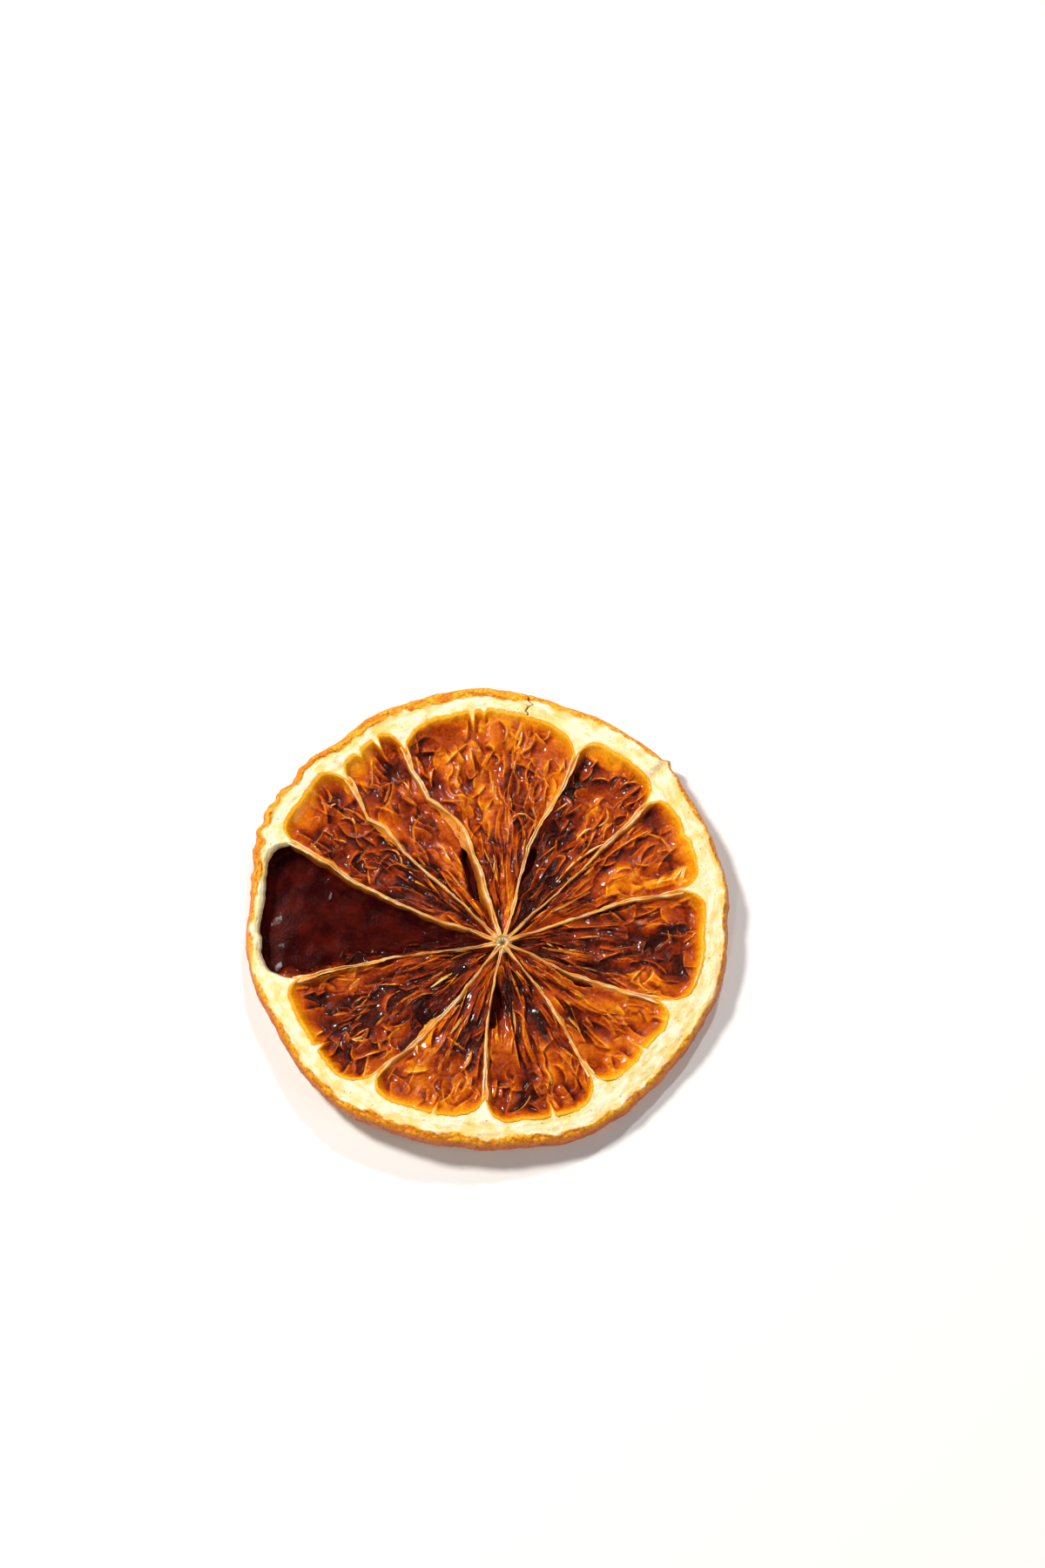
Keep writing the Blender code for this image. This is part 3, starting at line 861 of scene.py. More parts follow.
def rind_mesh():
    """The ring of pith and zest: its cut face, the peel, the other face, and the hollow side that the pulp
    meets."""
    direction = crowded_columns(RIND_COLUMNS)
    segment = (np.searchsorted(WALL_ANGLES, direction, side="right") - 1) % COUNT
    first, second = WALL_ANGLES[segment], WALL_ANGLES[segment + 1]
    to_peel = reach(direction)
    to_pith = to_peel - rim_width(segment, (direction - first) / (second - first), direction)
    x, y = from_core(direction, to_peel)
    from_middle = np.arctan2(y, x)
    place, height, spread = SKIN_FLAP
    to_peel = to_peel + height * np.exp(-((degrees_from(from_middle, place) / spread) ** 2))
    bumpy = ease(1.6 - np.abs(degrees_from(from_middle, BUMPY_MIDDLE)) / BUMPY_REACH)
    to_peel = to_peel - 0.04 + bumpy * (0.38 - 0.9 * np.abs(around(from_middle, 15.0, 97, 2)))

    zest_band = zest_width(from_middle)
    juicy = np.where(segment == EMPTY_SEGMENT, EMPTY_JUICE, 1.0)
    top = rind_face(1, RIND_TOP_ROWS, direction, to_pith, to_peel, zest_band, juicy)
    under = rind_face(-1, RIND_UNDER_ROWS, direction, to_pith, to_peel, zest_band, juicy)

    skin = []
    for number in range(1, RIND_SKIN_ROWS):
        share = number / RIND_SKIN_ROWS
        height = mix(top[-1][1], under[-1][1], share)
        round_out = math.sin(math.pi * share) ** 0.5
        pleats = along_rim(from_middle, 1.3, height / 0.6, 517)
        wrinkle = 0.18 * around(from_middle, 22.0, 511) + 0.14 * pleats
        distance = mix(top[-1][0], to_peel + SKIN_SWELL, round_out) + wrinkle * round_out
        cut_edge = math.exp(-min(share, 1.0 - share) * RIM_THICKNESS / 0.35)
        skin.append((distance, height, {"zest": 1.0, "skin": 1.0 - cut_edge, "streak": 0.5}))

    inside = []
    for number in range(1, RIND_INSIDE_ROWS):
        share = number / RIND_INSIDE_ROWS
        height = mix(under[0][1], top[0][1], share)
        distance = to_pith - LIP_OVER + RIND_TUCK * math.sin(math.pi * share) ** 0.5
        # The hollow side beside the empty segment gets the same painted shade.
        inside.append((distance, height, {"tint": juicy, "crack": EMPTY_LIP_SHADE * (1.0 - juicy)}))

    rows = top + skin + under[::-1] + inside
    points = [on_slice(direction, distance, height) for distance, height, _ in rows]
    values = {
        title: np.stack([np.broadcast_to(row[2].get(title, 0.0), direction.shape) for row in rows])
        for title in RIND_VALUES
    }
    faces = grid_faces(len(rows), RIND_COLUMNS, wrap_rows=True, wrap_columns=True).tolist()
    return np.concatenate(points), faces, values


# The pulp.

# How far apart the points of the pulp are, where it starts and ends as shares of the way from core to pith,
# and how strongly its points crowd towards the walls.
PULP_SPACING = 0.122
PULP_START = 0.05
PULP_END = 1.012
WALL_CROWDING = 0.35

# What is left in the empty segment lies this much higher than its bottom, and its film meets the rim lower
# down and more steeply than pulp does. The crumpling starts gently, within this distance of the core.
REMAINS_HEIGHT = 0.7
EMPTY_LIP_FALL = 0.35
EMPTY_LIP_DROP = 0.75
PLEATED_WITHIN = 5.0

# How thin the pulp is, from 0 to 1: what is taken off all over and towards the core, what painted shade
# takes off under a fold and in a hollow, and what the uneven tone, the painted glow before a fold and the
# pale line along it, partly a painted highlight, add. Then how thin it is where it meets a wall and the rim,
# partly thinner skin and partly a painted glow, and how deep a full hollow is (mm).
THICK_ALL_OVER = 0.11
THICK_INSIDE = 0.13
SHADE_UNDER_FOLD = 0.34
SHADE_IN_HOLLOW = 0.34
THIN_TONE = 0.26
PAINTED_FOLD_GLOW = 0.22
PALE_LINE_AND_HIGHLIGHT = 0.26
GOLD_AT_WALL = 0.66
GOLD_AT_RIM = 0.72
HOLLOW_DEPTH = 0.6

# Smooth swollen sacs that show: middle (x, y), half sizes across and along, turn (degrees), height, and how
# thin the skin is.
CUSHIONS = (
    (-6.0, 25.2, 3.4, 2.2, 10.0, 0.5, 0.42),
    (1.9, 25.6, 1.9, 2.6, 0.0, 0.5, 0.56),
    (9.0, 23.0, 1.6, 3.0, -30.0, 0.3, 0.52),
    (-17.3, 21.4, 2.6, 1.7, 35.0, 0.4, 0.68),
    (-11.8, 20.8, 2.2, 2.0, 20.0, 0.2, 0.24),
    (15.6, 22.6, 3.0, 1.3, -35.0, 0.3, 0.66),
    (14.5, 19.6, 2.4, 1.8, -30.0, 0.2, 0.36),
    (25.8, 10.2, 1.9, 2.6, 20.0, 0.4, 0.48),
    (22.9, 14.0, 2.2, 1.6, 30.0, 0.1, 0.30),
    (-25.0, 15.0, 1.8, 3.0, 20.0, 0.3, 0.53),
    (-5.2, 12.3, 3.2, 0.8, -53.0, 0.3, 0.62),
    (26.2, 6.0, 1.7, 1.2, 30.0, 0.1, 0.84),
    (22.9, 4.9, 3.0, 0.7, 12.0, 0.1, 0.76),
)

# Folds that stand up from the skins and show: middle (x, y), turn of the fold (degrees), half its length, how
# much it bends, and its height. A fold leans to its left, or with a height below zero to its right.
FOLDS_THAT_SHOW = (
    (-4.1, 23.2, 46, 2.0, 0.00, 0.45),
    (-2.0, 27.0, -75, 0.6, -0.11, 0.40),
    (0.5, 24.0, -35, 0.6, -0.70, 0.35),
    (0.2, 22.0, -115, 1.9, 0.04, -0.40),
    (1.2, 22.5, -82, 0.7, -0.98, 0.30),
    (3.9, 25.6, -42, 0.9, 0.28, 0.35),
    (4.2, 24.8, -113, 1.6, -0.14, -0.40),
    (8.1, 25.7, 52, 0.8, 0.37, 0.30),
    (4.1, 22.9, -102, 1.7, 0.00, 0.50),
    (3.3, 18.8, -100, 2.5, 0.04, 0.50),
    (2.5, 14.6, -91, 1.2, -0.07, 0.40),
    (-1.1, 17.9, 47, 1.4, 0.14, 0.50),
    (0.6, 16.3, 59, 0.9, 0.04, 0.35),
    (7.8, 20.8, -109, 1.6, -0.16, -0.40),
    (7.3, 19.7, -29, 0.9, 0.11, 0.30),
    (-4.5, 16.5, 0, 1.5, 0.02, 0.30),
    (-6.6, 23.4, -22, 0.8, 0.57, 0.20),
    (8.0, 17.5, 80, 1.2, -0.07, 0.40),
    (6.3, 13.9, -30, 0.9, 0.11, -0.40),
    (4.4, 14.0, 19, 1.2, -0.32, 0.40),
    (-2.0, 20.7, -13, 0.7, 2.05, 0.30),
    (13.6, 20.3, 49, 1.1, 0.24, 0.40),
    (15.3, 19.4, -4, 1.2, -0.17, 0.45),
    (17.8, 19.3, 0, 1.4, -0.40, 0.40),
    (19.3, 18.5, 9, 1.4, -0.26, 0.45),
    (19.2, 17.7, 30, 2.0, 0.07, 0.45),
    (20.0, 16.7, -149, 1.9, -0.07, -0.40),
    (15.5, 14.3, 66, 1.4, 0.37, -0.50),
    (18.8, 12.5, 34, 1.8, -0.14, 0.50),
    (13.1, 11.8, 39, 1.3, -0.10, 0.35),
    (13.9, 10.8, 64, 2.0, 0.02, 0.35),
    (12.6, 7.9, 40, 3.9, -0.02, 0.45),
    (13.5, 6.8, 35, 2.9, -0.02, 0.45),
    (18.8, 10.3, 32, 3.4, -0.01, 0.45),
    (10.5, 13.1, 57, 1.0, 0.20, 0.30),
    (24.2, 8.3, 48, 2.1, -0.08, 0.40),
    (25.6, 6.1, 52, 0.9, 0.10, 0.25),
    (26.5, 6.2, 74, 0.8, 0.05, 0.25),
    (26.9, 5.4, 20, 0.7, 0.10, -0.25),
    (23.6, 5.2, 16, 1.5, 0.05, 0.25),
    (21.0, 7.7, 0, 1.2, 0.30, 0.35),
    (18.4, 6.6, 13, 1.1, -0.21, 0.35),
    (-15.5, 20.4, -88, 1.8, -0.02, 0.45),
    (-16.5, 18.2, -59, 0.9, 0.11, 0.35),
    (-14.2, 15.3, -8, 0.6, 0.00, 0.40),
    (-13.1, 17.3, 75, 2.2, 0.06, -0.45),
    (-18.8, 17.8, -65, 0.6, 0.37, 0.30),
    (-9.0, 12.6, -106, 2.1, 0.17, 0.45),
    (-11.8, 19.4, 5, 0.8, 0.38, 0.30),
    (-13.1, 10.8, -36, 1.7, 0.00, 0.50),
    (-10.8, 8.9, -44, 1.2, 0.03, 0.45),
    (-15.7, 5.7, -82, 1.0, 0.02, 0.35),
    (-16.6, 7.9, -15, 0.4, -2.20, 0.25),
    (-18.6, 13.4, -20, 1.0, -0.44, 0.35),
    (-21.2, 11.7, -33, 0.7, -0.13, 0.30),
)

# How pale the edge of a fold that shows is, from 0 to 1, and of the others how pale one has to be to count as
# torn along its edge. Then how many others there are, and how far beyond its ends a fold is worked out.
SHOWN_PALE = 0.9
TORN_PALE = 0.8
FOLDS_PER_SQUARE_MM = 0.30
FOLD_REACH = 1.6


def blurred(grid, passes):
    """A grid of heights, smoothed."""
    for _ in range(passes):
        padded = np.pad(grid, 1, mode="edge")
        beside = padded[:-2, 1:-1] + padded[2:, 1:-1] + padded[1:-1, :-2] + padded[1:-1, 2:]
        grid = (2.0 * padded[1:-1, 1:-1] + beside) / 6.0
    return grid


def pocket_share(segment, place):
    """1 inside a pocket where the pulp has torn away, 0 outside."""
    inside = np.zeros_like(place.x)
    for home, side, start, widest, end, width in POCKETS:
        if home != segment:
            continue
        opening = np.minimum((place.share - start) / (widest - start), (place.share - end) / (widest - end))
        to_wall = place.to_second if side else place.to_first
        ragged = 0.25 * uneven(place.x, place.y, 0.8, 611)
        inside = np.maximum(inside, ease((width * ease(opening) + ragged - to_wall) / POCKET_EDGE))
    return inside


# The section of a fold: how far it swells before its line and drops past it, the width of the pale line,
# partly a painted highlight, and how far the painted glow before it and the painted shade below it reach.
FOLD_SWELL = 0.55
FOLD_DROP = 0.16
FOLD_LINE = 0.10
FOLD_GLOW = 0.6
FOLD_SHADE = 0.45
LEAST_SLOPE = 0.08


def fold_profile(over, fade):
    """A skin folded along a line, for points that are so far over the line. It swells gently up to the line
    and drops steeply past it. This gives the height, the pale line (partly a painted highlight), the painted
    glow before it and the painted shade below."""
    gentle = over >= 0.0
    away = np.abs(over)
    slope = np.where(gentle, np.exp(-away / FOLD_SWELL), np.exp(-((away / FOLD_DROP) ** 2)))
    return SimpleNamespace(
        height=fade * slope,
        line=fade * np.exp(-((away / FOLD_LINE) ** 2)),
        glow=fade * gentle * np.exp(-away / FOLD_GLOW),
        under=fade * ~gentle * (1.0 - slope) * np.exp(-away / FOLD_SHADE),
    )


def steepness(ground, x, y):
    """How much a grid of values changes in a millimetre."""
    (down, across), (down_x, across_x), (down_y, across_y) = map(np.gradient, (ground, x, y))
    area = down_x * across_y - down_y * across_x
    area = np.where(np.abs(area) < 1e-9, 1e-9, area)
    return np.hypot(down * across_y - across * down_y, across * down_x - down * across_x) / np.abs(area)


def drapes(place, p, q, seed, fade, layers=2, lines=1.0):
    """Skins folded along the winding level lines of rough ground."""
    ground = rough(p, q, seed, layers)
    if lines > 1.0:
        ground = np.sin(ground * lines * math.pi)
    slope = np.maximum(steepness(ground, place.x, place.y), LEAST_SLOPE)
    return fold_profile(ground / slope, fade)


def crumpled(place, seed, smooth, folds):
    """Collapsed juice sacs that point at the core: bowls and swells, skins folded along winding lines, and
    fine pleats near the core."""
    x, y, r = place.x, place.y, np.maximum(place.distance, 0.5)
    sway = 0.7 * uneven(x, y, 3.6, seed + 1, 2)
    shift = 0.6 * uneven(x, y, 3.6, seed + 2, 2)
    sac_p, sac_q = place.direction * 5.0 + sway, r / 6.0 + shift
    fine_p, fine_q = place.direction * 11.0 + 1.6 * sway, r / 3.6 + 1.3 * shift
    fibre_p, fibre_q = place.direction * 15.0 + 0.8 * sway, r / 14.0 + 0.3 * shift
    loose = 1.0 - smooth
    standing = ease(0.50 + 1.3 * uneven(x, y, 2.6, seed + 7, 2))
    fine_standing = ease(0.30 + 1.3 * uneven(x, y, 1.8, seed + 8, 2))
    inner = ease((21.0 - r) / 9.0) * ease((r - 1.5) / 2.0)
    sac = drapes(place, sac_p, sac_q, seed + 3, standing * mix(0.25, 1.0, loose))
    crease = drapes(place, fine_p, fine_q, seed + 4, fine_standing * loose * (1.0 - 0.4 * inner))
    fibre = drapes(place, fibre_p, fibre_q, seed + 5, fine_standing * inner * mix(0.4, 1.0, loose), 2, 2.0)
    fold = folded(x, y, folds)

    swell = 0.42 * rough(sac_p * 1.1 + 9.0, sac_q * 1.3, seed + 9, 2) * mix(0.5, 1.0, loose)
    swell = swell + 0.16 * rough(fine_p + 5.0, fine_q, seed + 10, 2) * mix(0.2, 1.0, loose)
    height = swell + 0.42 * sac.height + 0.26 * crease.height + 0.20 * fibre.height + fold.height
    height = height + 0.025 * uneven(x, y, 0.5, seed + 6) * mix(0.4, 1.0, loose)
    # The pale lines along the folds, partly the skin's pale edge and partly painted highlight.
    line = np.maximum.reduce([0.9 * sac.line, 0.7 * crease.line, 0.8 * fibre.line, fold.line])
    glow = np.maximum(0.9 * sac.glow, fold.glow) + 0.5 * crease.glow + 0.3 * fibre.glow
    under = np.maximum(sac.under, fold.under) + 0.6 * crease.under + 0.5 * fibre.under
    tone = 0.9 * rough(fine_p * 0.8, fine_q * 0.8, seed + 12, 3) * mix(0.5, 1.0, loose) + 0.5 * swell
    return SimpleNamespace(height=height, line=np.clip(line, 0.0, 1.0), glow=glow, under=under, tone=tone)


def segment_size(segment):
    """The angle of a segment (radians) and how far out its pulp goes."""
    angle = WALL_ANGLES[segment + 1] - WALL_ANGLES[segment]
    return angle, float(reach(WALL_ANGLES[segment] + angle / 2)) - RIM_WIDTHS[segment]


def scattered_folds(segment, seed, cushions):
    """Folds for a segment, most of them close to pointing at the core and few on a smooth swollen sac."""
    pick = np.random.RandomState(seed)
    angle, outer = segment_size(segment)
    rows = []
    for _ in range(int(FOLDS_PER_SQUARE_MM * 0.5 * angle * outer * outer)):
        spot = place_on(segment, pick.uniform(0.04, 0.96), math.sqrt(pick.uniform(0.01, 0.94)))
        inner = float(ease((20.0 - spot.distance) / 8.0))
        turn = math.degrees(spot.direction) + pick.normal(0.0, mix(20.0, 7.0, inner))
        if pick.uniform() < mix(0.25, 0.05, inner):
            turn = pick.uniform(0.0, 360.0)
        half = pick.uniform(0.5, 1.4) * (1.0 + 1.2 * pick.uniform() ** 3) * mix(1.0, 1.5, inner)
        bend = pick.normal(0.0, mix(0.14, 0.03, inner))
        height = pick.uniform(0.2, 0.6) * pick.choice((-1.0, 1.0))
        pale = pick.uniform() ** 2.5
        smooth = cushioned(np.array([spot.x]), np.array([spot.y]), np.zeros(1))[0][0] if cushions else 0.0
        torn = ease((spot.to_second - 1.2) / 1.5) if segment == EMPTY_SEGMENT else pocket_share(segment, spot)
        if pick.uniform() > max(0.85 * smooth, 2.0 * float(torn)):
            rows.append((spot.x, spot.y, turn, half, bend, height, pale))
    return rows


def folded(x, y, folds):
    """What separate folds add to a surface."""
    flat_x, flat_y = x.ravel(), y.ravel()
    total = {title: np.zeros(x.size) for title in ("height", "line", "glow", "under")}
    for middle_x, middle_y, turn, half, bend, rise, pale in folds:
        farthest = np.maximum(np.abs(flat_x - middle_x), np.abs(flat_y - middle_y))
        near = np.nonzero(farthest < half + FOLD_REACH)[0]
        along, over = turned(flat_x[near] - middle_x, flat_y[near] - middle_y, turn)
        over = (over - bend * (along**2 - half**2)) * math.copysign(1.0, rise)
        own = fold_profile(over, ease((1.0 - np.abs(along) / (half + 0.3)) / 0.45))
        for title, strength in (("height", abs(rise)), ("line", pale), ("glow", 1.0), ("under", 1.0)):
            total[title][near] = np.maximum(total[title][near], strength * getattr(own, title))
    return SimpleNamespace(**{title: values.reshape(x.shape) for title, values in total.items()})


def cushioned(x, y, thinness):
    """The smooth swollen sacs: how far inside one a point is, how much higher it lies, and its thinness."""
    inside, lift = np.zeros_like(x), np.zeros_like(x)
    for middle_x, middle_y, half_x, half_y, turn, height, own in CUSHIONS:
        along, over = turned(x - middle_x, y - middle_y, turn)
        along, over = along / half_x, over / half_y
        here = ease(2.6 - 2.2 * np.hypot(along, over))
        inside = np.maximum(inside, here)
        lift = lift + height * np.clip(1.0 - along**2 - over**2, 0.0, 1.0) ** 0.5
        thinness = mix(thinness, own, here)
    return inside, lift, thinness


def belongs_to(segment, x, y):
    """Whether a place on the flat slice lies in a segment."""
    direction = math.atan2(y - CORE_Y, x - CORE_X)
    share = math.hypot(x - CORE_X, y - CORE_Y) / float(reach(direction))
    turn = (direction - wall_direction(segment, share)) % (2.0 * math.pi)
    return turn < wall_direction(segment + 1, share) - wall_direction(segment, share)


def pulp_places(segment):
    """The places of a segment where its pulp is worked out, from the core outwards, closest at its walls."""
    angle, outer = segment_size(segment)
    even = np.linspace(0.0, 1.0, int(0.85 * angle * outer / PULP_SPACING))
    crowded = (1.0 - np.cos(math.pi * even)) / 2.0
    share = np.linspace(PULP_START, PULP_END, int(outer / PULP_SPACING))
    return place_on(segment, mix(even, crowded, WALL_CROWDING)[None, :], share[:, None])


def upper_height(segment, place, skin, lift, pocket, remains, seed):
    """How high the pulp lies on the flat slice: sunken, crumpled, torn out in the pockets, and drawn to its
    walls and to the rim."""
    empty = segment == EMPTY_SEGMENT
    to_wall = np.minimum(place.to_first, place.to_second)
    base = RIM_THICKNESS - SEGMENTS[segment][3] + 0.35 * uneven(place.x, place.y, 5.0, seed + 31) + lift
    relief = mix(0.4, 0.8, remains) * skin.height if empty else skin.height
    height = base + REMAINS_HEIGHT * remains + relief * ease(place.distance / PLEATED_WITHIN)
    height = mix(height, POCKET_FLOOR + 0.15 * skin.height, pocket)
    crest = RIM_THICKNESS - WALL_DROP - WALL_SAG * np.sin(math.pi * place.share)
    at_wall = np.exp(-((to_wall / 0.40) ** 1.2)) * (1.0 - 0.7 * pocket)
    height = mix(height, crest - 0.6, 0.75 * at_wall)
    fall, drop = (EMPTY_LIP_FALL, EMPTY_LIP_DROP) if empty else (LIP_FALL, LIP_DROP)
    at_rim = np.exp(-((np.maximum(place.to_rim, 0.0) / fall) ** 1.4))
    return mix(height, RIM_THICKNESS - drop, at_rim), at_rim


def under_height(place, skin, top, at_rim):
    """How high the pulp's underside lies on the flat slice, with a film of pulp left everywhere."""
    to_wall = np.minimum(place.to_first, place.to_second)
    height = UNDER_RISE - 0.45 * skin.height * ease(place.distance / PLEATED_WITHIN)
    height = mix(height, 0.5, 0.6 * np.exp(-((to_wall / 0.4) ** 1.2)))
    return np.minimum(height * (1.0 - 0.6 * at_rim), top - LEAST_FILM)


def thinness(place, own, skin, height, near_rim, seed):
    """How thin the pulp is all over one of its sides, from dark folds to cream edges, with painted shade in
    its hollows and below its folds, a painted highlight in the pale lines along its folds, and a painted glow
    before its folds and near its walls and rim. The height is how far the side stands out."""
    x, y = place.x, place.y
    to_wall = np.minimum(place.to_first, place.to_second)
    # Painted shade: darker where the side lies below its smoothed surroundings, in its hollows.
    hollow_shade = ease((blurred(height, 50) - height) / HOLLOW_DEPTH)
    value = own - THICK_ALL_OVER - THICK_INSIDE * ease((22.0 - place.distance) / 12.0) + THIN_TONE * skin.tone
    # Painted glow before each fold, painted shade below it and in the hollows.
    value = value + PAINTED_FOLD_GLOW * skin.glow - SHADE_UNDER_FOLD * skin.under - SHADE_IN_HOLLOW * hollow_shade
    # Painted glow, partly thinner skin: golden where the pulp meets the rim and, in its outer part, the
    # walls.
    places, _, reaches = zip(*RIM_LOOKS)
    reach_in = np.interp(np.degrees(np.arctan2(y, x)), places, reaches, period=360.0)
    reach_in = reach_in * (1.0 + 0.3 * uneven(x, y, 1.5, seed + 47, 2))
    rim_glow = np.exp(-((np.maximum(place.to_rim, 0.0) / reach_in) ** 1.7))
    wall_glow = np.exp(-((to_wall / 0.8) ** 1.3)) * ease((place.share - 0.55) / 0.4)
    wall_glow = wall_glow * ease(0.55 + 1.2 * uneven(x, y, 2.2, seed + 48, 2))
    value = mix(value, GOLD_AT_WALL, 0.85 * wall_glow)
    gold = GOLD_AT_RIM + 0.08 * around(place.direction, 9.0, 43) + 0.10 * np.exp(-np.abs(place.to_rim) / 0.35)
    value = mix(value, gold, 0.92 * rim_glow)
    value = value + 0.12 * np.exp(-to_wall / 0.4) * (1.0 - rim_glow)
    # Painted highlight, partly the pale edge of the skin: a lighter line along each fold, weaker near the
    # rim.
    value = value + PALE_LINE_AND_HIGHLIGHT * skin.line * (1.0 - 0.85 * near_rim)
    return np.clip(value, 0.02, 1.0)


def pulp_mesh(segment):
    """The pulp of a segment, closed underneath, with the folds of its top that show and of its underside."""
    seed = 1000 + 50 * segment
    golden, smoothness = SEGMENTS[segment][4:]
    empty = segment == EMPTY_SEGMENT
    place = pulp_places(segment)
    x, y = place.x, place.y

    regions = 0.16 * uneven(x, y, 4.5, seed + 40)
    regions = regions + 0.18 * rough(place.direction * 6.0, place.distance / 7.0, seed + 44)
    cushion, lift, thin = cushioned(x, y, golden + regions)
    near_rim = np.exp(-((place.to_rim / 1.6) ** 2))
    smooth = np.clip(smoothness + 0.5 * uneven(x, y, 4.0, seed + 30), 0.0, 1.0)
    smooth = np.maximum.reduce([smooth, cushion, 0.8 * near_rim])
    top_folds = [] if empty else [(*row, SHOWN_PALE) for row in FOLDS_THAT_SHOW]
    top_folds += scattered_folds(segment, seed + 60, True)
    skin = crumpled(place, seed, smooth, top_folds)
    under_folds = scattered_folds(segment, seed + 90, False)
    under_skin = crumpled(place, seed + 25, np.clip(0.75 * smooth, 0.3, 1.0), under_folds)

    # Pockets torn out of the pulp: lower there, and painted shade in the gap.
    gone_and_shaded = pocket_share(segment, place)
    remains = 0.0
    if empty:
        remains = ease((2.4 + 1.4 * uneven(x, y, 2.2, seed + 33) - place.to_second) / 1.2)
    top, at_rim = upper_height(segment, place, skin, lift, gone_and_shaded, remains, seed)
    under = under_height(place, under_skin, top, at_rim)
    # In the empty segment the film is painted shade, fainter where pulp remains beside its second wall.
    if empty:
        to_wall = np.minimum(place.to_first, place.to_second)
        gone_and_shaded = ease((to_wall - 0.05) / 0.4) * mix(1.0, 0.35, remains)
    on_top = thinness(place, thin, skin, top, near_rim, seed)
    on_under = thinness(place, thin, under_skin, -under, near_rim, seed)
    values = {"thin": np.stack([on_top, on_under]), "shaded_gap": np.stack([gone_and_shaded, 0.6 * gone_and_shaded])}
    points, faces = closed_sheet(warped(x, y, top), warped(x, y, under))
    own_folds = [] if empty else [row for row in top_folds if belongs_to(segment, row[0], row[1])]
    return points, faces, values, (own_folds, under_folds)


# The walls.

# How many sections a wall has, where it starts and ends as shares of the way from core to pith, and how thick
# it is. FIBRE_SHIFT gives each wall fibres of its own.
WALL_ROWS = 240
WALL_START = 0.03
WALL_END = 1.03
WALL_WIDTH = 0.40
FIBRE_SHIFT = 50.0

# For each wall: how far its crest leans over from its foot, anticlockwise, and the share of the way from core
# to pith within which it has shrunk to a thin amber line. Then the torn skin that hangs from its side: at
# which share, and how wide, anticlockwise or with a width below zero clockwise.
WALL_LOOKS = (
    (0.2, 0.30, 0.75, 0.6),
    (0.3, 0.62, 0.80, 0.5),
    (-0.4, 0.10, 0.78, 0.7),
    (-0.6, 0.05, 0.58, 1.7),
    (-0.3, 0.60, 0.70, 0.6),
    (-0.3, 0.45, 0.80, -0.5),
    (0.4, 0.50, 0.40, 0.7),
    (-0.4, 0.30, 0.65, -1.0),
    (0.5, 0.60, 0.75, 0.6),
    (-0.3, 0.35, 0.55, 0.9),
    (0.4, 0.50, 0.70, -0.7),
)

# How long such a skin is along the wall, as a share of it, and how high the wall's foot lies.
SKIRT_REACH = 0.09
FOOT_HEIGHT = 0.4

# The section of a wall from its bottom, up one side and over its crest to the middle: how far up, how far
# out, and how far a torn skin hangs out there, in its widths. The other side mirrors it.
HALF_SECTION = (
    (0.0, 0.9, 0.0),
    (0.35, 0.8, 0.0),
    (0.55, 0.75, 0.35),
    (0.66, 0.75, 0.8),
    (0.72, 0.8, 1.0),
    (0.75, 0.8, 0.97),
    (0.76, 0.8, 0.7),
    (0.79, 0.8, 0.35),
    (0.86, 0.85, 0.08),
    (0.95, 0.9, 0.0),
    (1.0, 0.75, 0.0),
    (0.985, 0.45, 0.0),
    (0.94, 0.15, 0.0),
)
OTHER_HALF = tuple((up, -out, hang) for up, out, hang in HALF_SECTION[::-1])
WALL_SECTION = (*HALF_SECTION, (0.93, 0.0, 0.0), *OTHER_HALF)


